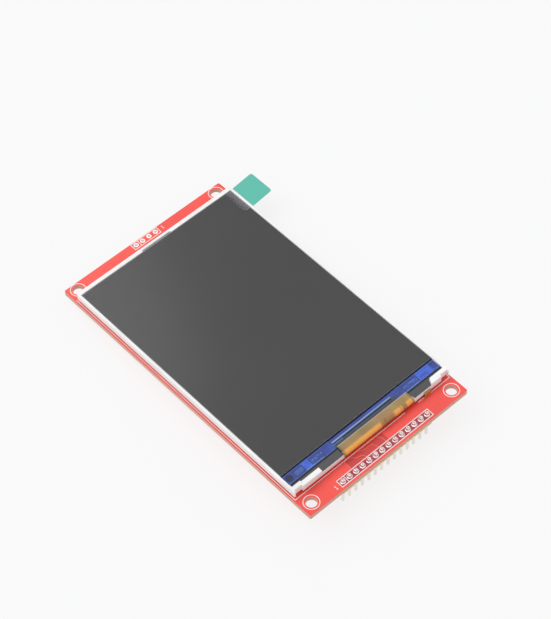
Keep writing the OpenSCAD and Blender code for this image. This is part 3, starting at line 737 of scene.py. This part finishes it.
class DISPLAY_OT_carried(Build, bpy.types.Operator):
    """Gives a finish to every solid that stays in view"""
    bl_idname = "display.carried"
    bl_label = "Finish the solids"

    def execute(self, context):
        panel, header, flex = settings("panel"), settings("header"), settings("flex")
        board_end = box("pcb")[0].y         # the lamp flex stays short of this line, so it shows no painted bend highlight
        finishes = {
            "pin_metal": sheet_metal("tinned_pin", header.pin, 0.25, (2500, 2500, 80)),
            "foam": moulded("foam_tape", (0.82, 0.82, 0.8), 0.85, 2200, 0.06 * MM),
            "reflector": film_plastic("reflector_film", (0.85, 0.86, 0.88), 0.25),
            "clear_plastic": film_plastic("light_sheet", (0.8, 0.84, 0.87), 0.15),
            "black_tape": black_tape("shading_film", panel.tape),
            "flex": flex_film("lamp_flex_film", board_end, flex.amber),
            "lamp": moulded("lamp_package", (0.93, 0.88, 0.6), 0.4),
            "polarizer": screen_glass("polarizer_film", panel.screen),
            "panel_glass": ledge_glass("circuit_glass"),
            "silicon": chip_silicon("chip_back"),
            "cover_film": cover_film_finish("cover_film"),
            "teal_tape": tab_film("tab_film"),
            "contact_metal": sheet_metal("contact_gold", (0.88, 0.62, 0.25), 0.22, (80, 2500, 2500)),
        }
        for part in frame["record"]["subparts"]:
            for slot in frame["nodes"][part["node"]].material_slots:
                slot.material = finishes.get(part["material_slot"], slot.material)
        return {"FINISHED"}


# Fine traces between the display and the header, in millimetres: points as x and the distance below their
# upper ends, and the x at which each reaches its lower end
FRONT_TRACES = (
    ([(-11.9, 0)], -11.9),
    ([(-9.6, 0), (-8.4, 1.2), (-6.6, 1.6)], -5.9),
    ([(-6.8, 0), (-4.6, 0.7), (-1.9, 0.9)], -1.3),
    ([(0.6, 0), (1.6, 1.1)], 1.6),
)

# Pads on the back on which nothing is fitted: a chip with two rows of leads, and two small two-ended parts
EMPTY_CHIP_Y = -29 * MM
EMPTY_PARTS = ((-8 * MM, -33 * MM), (8 * MM, -30 * MM))


def add_pads(tin, back, front):
    """Plated rings round the header holes, and bare pads where no part is fitted."""
    bm = bmesh.new()
    hole, ring = 0.5 * MM, settings("header").pad_radius
    lead_x, half_lead = 2.4 * MM, 0.5 * MM
    part_x, part_pad = 0.8 * MM, 0.6 * MM
    under = back - PAD
    for x in row(PIN_COUNT):
        washer(bm, (x, header_y()), hole, ring, front, PAD)
    for x in row(CARD_PIN_COUNT):
        for z in (front, under):
            washer(bm, (x, card_row_y()), hole, ring - 0.08 * MM, z, PAD)
    for side in (-1, 1):
        x = side * lead_x
        for y in row(8, 0.65 * MM):
            y += EMPTY_CHIP_Y
            bar(bm, (x - half_lead, y), (x + half_lead, y), 0.4 * MM, under, PAD)
        for x, y in EMPTY_PARTS:
            x += side * part_x
            bar(bm, (x, y), (x, y + part_pad), 0.9 * MM, under, PAD)
    close_up(bm)
    place_piece(bm, "plated_pads", [tin], smooth=30)


def add_copper(look, z):
    """Under the mask on the front: a copper field, fine copper traces, and darker mask over the header's pad
    zone.
    """
    top, foot = box("backlight_frame")[0].y - 0.55 * MM, header_y() + 1.55 * MM
    bm = bmesh.new()
    field(bm, -11.7 * MM, 2.7 * MM, foot, top, z, COPPER)
    place_piece(bm, "masked_copper", [solder_mask("copper_mask", look.copper_mask, 0.35)])
    # A darker patch of mask across the header's pad zone, between the pads.
    bm = bmesh.new()
    half_x, half_y = PIN_COUNT / 2 * PITCH - 0.2 * MM, 1.1 * MM
    field(bm, -half_x, half_x, header_y() - half_y, header_y() + half_y, z, COPPER)
    place_piece(bm, "pad_zone", [solder_mask("pad_zone_mask", look.pad_zone, 0.35)])
    bm = bmesh.new()
    for bends, end in FRONT_TRACES:
        points = [(x * MM, top - fall * MM) for x, fall in bends] + [(end * MM, foot)]
        ribbon(bm, points, look.trace_width * 0.6, z, 2 * COPPER)
    place_piece(bm, "front_traces", [solder_mask("trace_mask", look.trace_mask)])


def add_back_traces(look, z):
    """Traces under the mask on the back: from the header towards the display's pads, and from the spare
    holes to the card socket, with plated holes at their ends and along both sides of the board."""
    bm = bmesh.new()
    at, clear = z - BACK_TRACE, 1.2 * MM        # each trace starts clear of its hole
    squeeze = 0.62                              # the traces end closer together than they start
    for i, x in enumerate(row(PIN_COUNT)):
        level = header_y() + (3.0 + 0.45 * (i % 7)) * MM
        drawn_in = squeeze * x
        end = (drawn_in, (-20 - 0.9 * (i % 5)) * MM)
        points = [(x, header_y() + clear), (x, level), (drawn_in, level + abs(x - drawn_in)), end]
        ribbon(bm, points, look.trace_width, at, BACK_TRACE)
        via(bm, end, z)
    contact_x = box("card_contact_1")[0].x
    for i, x in enumerate(row(CARD_PIN_COUNT)):
        foot = middle("card_contact_%d" % (2 * i + 1)).y
        side = contact_x - (1.2 + 0.6 * i) * MM
        level = (48 - 0.6 * (CARD_PIN_COUNT - i)) * MM
        points = [(x, card_row_y() - clear), (x, level), (side, level), (side, foot),
                  (contact_x, foot)]
        ribbon(bm, points, look.trace_width, at - 0.002 * MM * i, BACK_TRACE)
    edge = box("pcb")[1].x - 1.6 * MM
    for x in (-edge, edge):
        for y in row(9, 2 * PITCH):
            via(bm, (x, y - 8 * MM), z)
    close_up(bm)
    place_piece(bm, "back_traces", [solder_mask("back_trace_mask", look.copper_mask)])


def print_hole_rings(bm, look, z):
    """A printed ring round each mounting hole."""
    half = look.ink_line / 2
    for hole in mounting_holes():
        washer(bm, hole, look.ring_radius - half, look.ring_radius + half, z, look.ink_depth, 64)


def print_front(look, z):
    """Printed lines on the front: hole rings, header boxes and the display's outline."""
    bm = bmesh.new()
    line = look.ink_line
    pen = (line, z, look.ink_depth)
    print_hole_rings(bm, look, z)
    for count, y, top in ((PIN_COUNT, header_y(), header_y() + PITCH / 2),
                          (CARD_PIN_COUNT, card_row_y(), box("pcb")[1].y - line)):
        half, first = count / 2 * PITCH, (1 - count / 2) * PITCH
        outline(bm, -half, half, y - PITCH / 2, top, *pen)
        ribbon(bm, [(first, y - PITCH / 2 + line / 2), (first, top - line / 2)], *pen)
    print_one(bm, -PIN_COUNT / 2 * PITCH - 1.5 * MM, header_y() - 0.2 * MM, z)
    print_one(bm, CARD_PIN_COUNT / 2 * PITCH + 1.6 * MM, card_row_y(), z)
    low, high = box("backlight_frame")
    x, foot, top = high.x + 0.05 * MM, low.y - 0.18 * MM, high.y + 0.32 * MM
    for gap, side in ((12.3 * MM, -x), (17.6 * MM, x)):
        ribbon(bm, [(gap, foot), (side, foot), (side, top)], *pen)
    close_up(bm)
    place_piece(bm, "front_print", [printed_ink("print_ink", look.ink)])


def print_one(bm, x, y, z):
    """A plain figure 1 that marks the first pin."""
    half, arm, stroke, depth = 0.55 * MM, 0.3 * MM, 0.17 * MM, settings("board").ink_depth
    ribbon(bm, [(x - arm, y + half - arm), (x, y + half), (x, y - half + stroke / 2)], stroke, z, depth)
    ribbon(bm, [(x - arm, y - half), (x + arm, y - half)], stroke, z, depth)


def print_back(look, z):
    """Printed lines on the back: hole rings, header boxes, socket edges and part outlines."""
    bm = bmesh.new()
    line, at, margin = look.ink_line, z - look.ink_depth, 0.5 * MM
    pen = (line, at, look.ink_depth)
    print_hole_rings(bm, look, at)
    half = CARD_PIN_COUNT / 2 * PITCH
    outline(bm, -half, half, card_row_y() - PITCH / 2, box("pcb")[1].y - line, *pen)
    low, high = box("header_body")
    outline(bm, low.x - margin, high.x + margin, low.y - margin / 2, high.y + margin, *pen)
    low, high = box("card_socket_shell")
    for y in (low.y - margin, high.y + margin):
        ribbon(bm, [(low.x + 1.5 * MM, y), (high.x - 5 * MM, y)], *pen)
    half_x, half_y = 3.1 * MM, 2.7 * MM
    packages = [footprint("regulator"), footprint("backlight_transistor"),
                (-half_x, half_x, EMPTY_CHIP_Y - half_y, EMPTY_CHIP_Y + half_y)]
    chips = chip_boxes("resistors") + chip_boxes("capacitors")
    for boxes, space, width in ((packages, margin, line), (chips, 0.4 * MM, line * 0.6)):
        for x0, x1, y0, y1 in boxes:
            outline(bm, x0 - space, x1 + space, y0 - space, y1 + space, width, at, look.ink_depth)
    close_up(bm)
    place_piece(bm, "back_print", [printed_ink("back_ink", look.ink)])


class DISPLAY_OT_board(Build, bpy.types.Operator):
    """Circuit board: solder mask, cut edges, hole walls, pads, traces and printed lines"""
    bl_idname = "display.board"
    bl_label = "Circuit board"

    def execute(self, context):
        look = settings("board")
        low, high = box("pcb")
        rim, near_hole = 0.6 * MM, 2.2 * MM
        tin = solder_metal("pad_tin", settings("header").solder)
        finishes = [solder_mask("board_mask", look.mask), laminate_edge("board_edge", look.laminate), tin]

        def choose(centre, normal):
            if abs(normal.z) > 0.5:
                return 0
            on_outline = (centre.x < low.x + rim or centre.x > high.x - rim
                          or centre.y < low.y + rim or centre.y > high.y - rim)
            in_mounting_hole = any((centre.xy - Vector(hole)).length < near_hole for hole in mounting_holes())
            return 1 if on_outline or in_mounting_hole else 2

        skin("pcb", "circuit_board", finishes, choose)
        add_pads(tin, low.z, high.z)
        add_copper(look, high.z)
        add_back_traces(look, low.z)
        print_front(look, high.z)
        print_back(look, low.z)
        return {"FINISHED"}


# Marks on the glass ledge, in millimetres across it from the middle
LEDGE_FIELDS = ((-22.4, -20.1), (22.1, 27.4))
LEDGE_BOXES = ((-26.0, -22.65), (-19.8, -15.2), (16.3, 21.9))
LEDGE_RULES = ((-22.4, -16.2), (16.6, 21.6))
LEDGE_SPECKS = ((-17.5, 9), (19.1, 11))     # middle of a row of marks, and how many it has


def add_circuit(look):
    """Layers of the circuit on the glass ledge, either side of the driver chip."""
    chip_low, chip_high = box("driver_chip")
    glass_low, glass_high = box("array_glass")
    z, step = chip_low.z, 0.004 * MM
    foot, top = glass_low.y + 0.3 * MM, box("color_filter_glass")[0].y - 0.35 * MM
    low, high = foot + 0.35 * MM, top - 0.6 * MM
    line, centre_y = 0.13 * MM, (low + high) / 2
    bright, dark, pale, band = (bmesh.new() for _ in range(4))
    field(band, chip_low.x, chip_high.x + 1.4 * MM, flex_bond_edge() - 0.1 * MM, chip_low.y, z, step)
    for x0, x1 in LEDGE_FIELDS:
        field(bright, x0 * MM, x1 * MM, foot, top, z, step)
    washer(dark, (-27.9 * MM, (foot + top) / 2), 0, 1.2 * MM, z, step, 40)
    for x0, x1 in LEDGE_BOXES:
        outline(dark, x0 * MM, x1 * MM, low, high, line, z, 2 * step)
    outline(dark, 28 * MM, 28.9 * MM, low + 0.3 * MM, high, line, z, 2 * step)
    comb_x, comb_y = 24.1 * MM, low + 0.9 * MM
    for x in row(4, 0.7 * MM):
        bar(dark, (comb_x + x, low), (comb_x + x, low + 0.8 * MM), line, z, 3 * step)
    bar(dark, (comb_x - 1.0 * MM, comb_y), (comb_x + 1.1 * MM, comb_y), line, z, 3 * step)
    for y in row(3, 0.5 * MM):
        bar(pale, (-25.7 * MM, centre_y + y), (-23 * MM, centre_y + y), 0.1 * MM, z, step)
    rng = random.Random(3)
    for middle_x, count in LEDGE_SPECKS:
        for x in row(count, 0.47 * MM):
            x += middle_x * MM
            y = centre_y + rng.uniform(-0.25, 0.3) * MM
            bar(pale, (x, y), (x, y + rng.uniform(0.05, 0.5) * MM), 0.15 * MM, z, step)
    rule_y = foot + 0.15 * MM
    for x0, x1 in LEDGE_RULES:
        bar(pale, (x0 * MM, rule_y), (x1 * MM, rule_y), 0.18 * MM, z, 2 * step)
    for x0, x1 in ((glass_low.x + 0.3 * MM, chip_low.x - 0.4 * MM),
                   (chip_high.x + 1.5 * MM, glass_high.x - 0.3 * MM)):
        for y in (foot - 0.08 * MM, top + 0.05 * MM):
            bar(pale, (x0, y), (x1, y), 0.07 * MM, z, 3 * step)
    x, y = chip_low.x - 0.3 * MM, chip_low.y - 0.3 * MM
    bar(pale, (x, y), (x + 3.9 * MM, y), 0.18 * MM, z, 2 * step)
    for bm, name, base in ((bright, "ledge_fields", look.ledge_light),
                           (dark, "ledge_outlines", look.ledge_dark),
                           (pale, "ledge_marks", look.ledge_line),
                           (band, "ledge_leads", look.ledge_band)):
        close_up(bm)
        place_piece(bm, name, [circuit_layer(name + "_layer", base)])


class DISPLAY_OT_panel(Build, bpy.types.Operator):
    """Display: the moulded frame with soft edges, and the circuit on the glass ledge"""
    bl_idname = "display.panel"
    bl_label = "Display panel"

    def execute(self, context):
        look = settings("panel")
        skin("backlight_frame", "moulded_frame", [moulded("frame_plastic", look.frame_colour, 0.4)],
             bevel=look.frame_bevel)
        add_circuit(look)
        return {"FINISHED"}


def face_out(bm):
    """Turns the strip's faces to the outside of the fold."""
    tip = min(bm.faces, key=lambda f: f.calc_center_median().y)
    if tip.normal.y > 0:
        bmesh.ops.reverse_faces(bm, faces=list(bm.faces))


def pull(bm, rim, way, steps):
    """Draws a row of edges out along a straight way, and returns the last row."""
    step = Vector(way) / steps
    for _ in range(steps):
        made = bmesh.ops.extrude_edge_only(bm, edges=rim)["geom"]
        bmesh.ops.translate(bm, verts=points_of(made), vec=step)
        rim = [e for e in edges_of(made) if all(v in made for v in e.verts)]
    return rim


def crease(bm, bend_y, ripple):
    """Shallow ripples across the bend, where the stiff film has been creased by hand."""
    for v in bm.verts:
        near = math.exp(-((v.co.y - bend_y) / (0.7 * MM)) ** 2)
        wave = math.sin(v.co.x / (0.55 * MM)) + 0.6 * math.sin(v.co.x / (0.23 * MM) + 1.0)
        v.co.y += ripple * near * (1 + wave) / 2


class DISPLAY_OT_flex(Build, bpy.types.Operator):
    """Display flex: one amber strip that folds round the end of the frame"""
    bl_idname = "display.flex"
    bl_label = "Display flex"

    def execute(self, context):
        look = settings("flex")
        low, high = box("display_flex")
        thick = 0.12 * MM
        top = box("array_glass")[1].z + thick
        under = box("reflector_sheet")[0].z - 0.06 * MM - thick
        board = box("pcb")[1].z
        bond = flex_bond_edge()
        radius = (top - under) / 2
        bend_y = low.y + radius
        bm = bmesh.new()
        ends = [bm.verts.new((x, bond, top)) for x in (low.x, high.x)]
        bmesh.ops.subdivide_edges(bm, edges=[bm.edges.new(ends)], cuts=look.strips, use_grid_fill=False)
        rim = pull(bm, list(bm.edges), (0, bend_y - bond, 0), 6)
        spun = bmesh.ops.spin(bm, geom=rim + list({v for e in rim for v in e.verts}),
                              cent=(0, bend_y, top - radius), axis=(1, 0, 0), angle=math.pi, steps=20)
        rim = pull(bm, edges_of(spun["geom_last"]), (0, high.y - look.pads - look.ramp - bend_y, 0), 4)
        rim = pull(bm, rim, (0, look.ramp, board - under), 4)
        pull(bm, rim, (0, look.pads, 0), 3)
        bmesh.ops.remove_doubles(bm, verts=bm.verts, dist=0.001 * MM)
        crease(bm, bend_y, look.ripple)
        bmesh.ops.recalc_face_normals(bm, faces=bm.faces)
        face_out(bm)
        bmesh.ops.solidify(bm, geom=list(bm.faces), thickness=thick * 0.9)
        bmesh.ops.recalc_face_normals(bm, faces=bm.faces)
        place_piece(bm, "display_flex_strip", [flex_film("flex_film", bend_y, look.tan)],
                    ["display_flex"], 40)
        return {"FINISHED"}


def joint_profile(base, height, wide, neck):
    """Half section of a solder joint: a low rim on the pad, then a hollow curve up to the pin."""
    core, rim, bends = 0.3 * MM, 0.06 * MM, 6
    points = [(core, base), (wide, base), (wide * 0.99, base + rim)]
    for k in range(1, bends + 1):
        turn = k / bends * math.pi / 2
        points.append((wide + (neck - wide) * math.sin(turn),
                       base + rim + (height - rim) * (1 - math.cos(turn))))
    return points + [(core, base + height * 1.02)]


class DISPLAY_OT_header(Build, bpy.types.Operator):
    """Pin header: the moulded strip with soft edges, and a solder joint round each pin"""
    bl_idname = "display.header"
    bl_label = "Pin header"

    def execute(self, context):
        look = settings("header")
        skin("header_body", "header_strip", [moulded("strip_plastic", look.plastic, 0.4)],
             bevel=0.05 * MM)
        rng = random.Random(7)
        bm = bmesh.new()
        base = box("pcb")[1].z
        lean = 0.07 * MM
        for x in row(PIN_COUNT):
            height = look.solder_height * rng.uniform(0.85, 1.12)
            wide = look.pad_radius * rng.uniform(0.93, 1.0)
            before = set(bm.verts)
            revolve(bm, joint_profile(base, height, wide, look.solder_neck), (x, header_y()), 24)
            way = Vector((rng.uniform(-lean, lean), rng.uniform(-lean, lean), 0))
            for v in set(bm.verts) - before:
                v.co += way * ((v.co.z - base) / height)
        close_up(bm)
        place_piece(bm, "solder_joints", [solder_metal("solder", look.solder)], ["header_solder"],
                    50)
        return {"FINISHED"}


def puddle(bm, centre, size):
    """A flat rounded pool of solder under the board's back."""
    move = Matrix.Translation(centre) @ Matrix.Diagonal((*size, 1))
    made = bmesh.ops.create_uvsphere(bm, u_segments=20, v_segments=10, radius=1.0, matrix=move)
    for v in made["verts"]:
        v.co.z = min(v.co.z, centre[2])


class DISPLAY_OT_socket(Build, bpy.types.Operator):
    """Card socket: folded steel shell, moulded base, and solder round its tabs and contact tails"""
    bl_idname = "display.socket"
    bl_label = "Card socket"

    def execute(self, context):
        look = settings("socket")
        skin("card_socket_shell", "socket_shell", [sheet_metal("shell_steel", look.steel, 0.24)],
             bevel=look.edge)
        skin("card_socket_base", "socket_base", [moulded("base_plastic", look.plastic, 0.38)],
             bevel=0.04 * MM)
        bm = bmesh.new()
        back = box("pcb")[0].z
        low, high = box("card_socket_shell")
        tab_x, tab_y = 3.4 * MM, 0.55 * MM
        for x in (high.x - tab_x, low.x + tab_x):
            for y in (low.y + tab_y, high.y - tab_y):
                puddle(bm, (x, y, back), (look.tab_solder, 0.95 * MM, 0.26 * MM))
        tail_x = box("card_contact_1")[0].x + 0.45 * MM
        for i in range(CONTACT_COUNT):
            y = middle("card_contact_%d" % (i + 1)).y
            puddle(bm, (tail_x, y, back), (look.tail_solder, 0.6 * MM, 0.21 * MM))
        close_up(bm)
        solder = solder_metal("socket_solder", settings("header").solder)
        place_piece(bm, "socket_solder", [solder], smooth=60)
        return {"FINISHED"}


def metal_ends(node, cap, others):
    """A chooser of finishes: metal on both ends of each chip part, and between them one finish for the
    outer face and one for the sides."""
    boxes = chip_boxes(node)

    def choose(centre, normal):
        for x0, x1, y0, y1 in boxes:
            if x0 - cap <= centre.x <= x1 + cap and y0 - cap <= centre.y <= y1 + cap:
                if x1 - x0 > y1 - y0:
                    to_end = min(centre.x - x0, x1 - centre.x)
                else:
                    to_end = min(centre.y - y0, y1 - centre.y)
                if to_end < cap:
                    return 0
                return others[0] if normal.z < -0.5 else others[1]
        return others[1]

    return choose


def metal_leads(node, reach):
    """A chooser of finishes: metal on the leads along both sides of a package."""
    low, high = box(node)

    def choose(centre, normal):
        return 1 if min(centre.y - low.y, high.y - centre.y) < reach else 0

    return choose


class DISPLAY_OT_small_parts(Build, bpy.types.Operator):
    """Small parts on the back: resistors, capacitors and three-lead packages, each with its own finishes"""
    bl_idname = "display.small_parts"
    bl_label = "Small parts"

    def execute(self, context):
        look = settings("small")
        tin = solder_metal("part_tin", settings("header").solder)
        glaze = moulded("part_glaze", look.glaze, 0.25)
        ceramic = moulded("part_ceramic", look.ceramic, 0.5)
        tan = moulded("part_capacitor", look.dielectric, 0.48)
        black = moulded("part_package", look.package, 0.45)
        skin("resistors", "chip_resistors", [tin, glaze, ceramic],
             metal_ends("resistors", look.cap, [1, 2]), bevel=0.04 * MM)
        skin("capacitors", "chip_capacitors", [tin, tan],
             metal_ends("capacitors", look.cap, [1, 1]), bevel=0.07 * MM)
        for node, name in (("regulator", "regulator_package"),
                           ("backlight_transistor", "transistor_package")):
            skin(node, name, [black, tin], metal_leads(node, look.lead),
                 bevel=0.015 * MM)
        return {"FINISHED"}


def set_camera(look):
    data = bpy.data.cameras.new("camera")
    data.lens = look.lens
    data.clip_start, data.clip_end = 0.01, 50
    camera = add_object("camera", data)
    camera.location = look.camera_place
    camera.rotation_euler = Euler(look.camera_turn)
    bpy.context.scene.camera = camera


def add_floor(look):
    """The plane that the module rests on: under the pin tips and the socket's far edge."""
    pin = box("header_pin_1")[0].z
    socket_low, socket_high = box("card_socket_shell")
    pin_y = middle("header_pin_1").y
    slope = math.atan2(socket_low.z - pin, socket_high.y - pin_y)
    bm = bmesh.new()
    place = Matrix.Translation((0, pin_y, pin)) @ Matrix.Rotation(slope, 4, "X")
    bmesh.ops.create_grid(bm, x_segments=1, y_segments=1, size=look.floor_size / 2, matrix=place)
    floor = mesh_object(bm, "floor", [floor_finish("floor_paper", look.floor_colour)])


def set_world(look):
    """A world that lights the module evenly, and shows the backdrop's colour where it is seen."""
    world = bpy.data.worlds.new("studio")
    bpy.context.scene.world = world
    world.use_nodes = True
    tree = world.node_tree
    rays = add_node(tree, "LightPath").outputs
    seen = rays["Is Camera Ray"]
    for kind in ("Is Glossy Ray", "Is Transmission Ray"):
        seen = add_node(tree, "Math", {0: seen, 1: rays[kind]}, operation="MAXIMUM").outputs["Value"]
    fill, backdrop = (add_node(tree, "Background", {"Color": (*tint, 1), "Strength": strength}).outputs[0]
                      for tint, strength in (((1, 1, 1), look.fill), (look.backdrop, 1.0)))
    mix = add_node(tree, "MixShader", {0: seen, 1: fill, 2: backdrop})
    tree.links.new(mix.outputs["Shader"], tree.nodes["World Output"].inputs["Surface"])


def add_lamp(name, kind, place, power, **values):
    """A lamp that points at the middle of the module."""
    data = bpy.data.lights.new(name, kind)
    data.energy = power
    for key, value in values.items():
        setattr(data, key, value)
    lamp = add_object(name, data)
    lamp.location = place
    lamp.rotation_euler = (-Vector(place)).to_track_quat("-Z", "Y").to_euler()


class DISPLAY_OT_stage(Build, bpy.types.Operator):
    """Camera, lights and a pale floor that touches the pin tips and the card socket"""
    bl_idname = "display.stage"
    bl_label = "Stage"

    def execute(self, context):
        look = settings("stage")
        set_camera(look)
        add_floor(look)
        set_world(look)
        add_lamp("broad_light", "SUN", (-0.35, 0.25, 0.75), look.key, angle=math.radians(50))
        add_lamp("window", "AREA", (0.16, 0.5, 0.7), look.window, shape="DISK", size=0.3)
        context.scene.view_settings.view_transform = "Standard"
        return {"FINISHED"}


# ---------- sidebar and start ----------

OPERATORS = (DISPLAY_OT_stage, DISPLAY_OT_carried, DISPLAY_OT_board, DISPLAY_OT_panel, DISPLAY_OT_flex,
             DISPLAY_OT_header, DISPLAY_OT_socket, DISPLAY_OT_small_parts)
GROUPS = {"board": DISPLAY_PG_board, "panel": DISPLAY_PG_panel, "flex": DISPLAY_PG_flex,
          "header": DISPLAY_PG_header, "socket": DISPLAY_PG_socket, "small": DISPLAY_PG_small,
          "stage": DISPLAY_PG_stage}


class DISPLAY_PT_sidebar(bpy.types.Panel):
    """Lists the settings and the steps of the display module"""
    bl_idname = "DISPLAY_PT_sidebar"
    bl_label = "Display module"
    bl_space_type = "VIEW_3D"
    bl_region_type = "UI"
    bl_category = "Display module"

    def draw(self, context):
        for operator in OPERATORS:
            self.layout.operator(operator.bl_idname)
        for name, group in GROUPS.items():
            column = self.layout.column(align=True)
            column.label(text=name.capitalize())
            for prop in group.__annotations__:
                column.prop(settings(name), prop)


CLASSES = (*GROUPS.values(), *OPERATORS, DISPLAY_PT_sidebar)


def register():
    for cls in CLASSES:
        bpy.utils.register_class(cls)
    for name, group in GROUPS.items():
        setattr(bpy.types.Scene, "display_" + name, PointerProperty(type=group))


def unregister():
    for name in GROUPS:
        delattr(bpy.types.Scene, "display_" + name)
    for cls in reversed(CLASSES):
        bpy.utils.unregister_class(cls)


def main():
    register()
    for step in ("stage", "carried", "board", "panel", "flex", "header", "socket", "small_parts"):
        getattr(bpy.ops.display, step)()


if __name__ == "__main__":
    main()
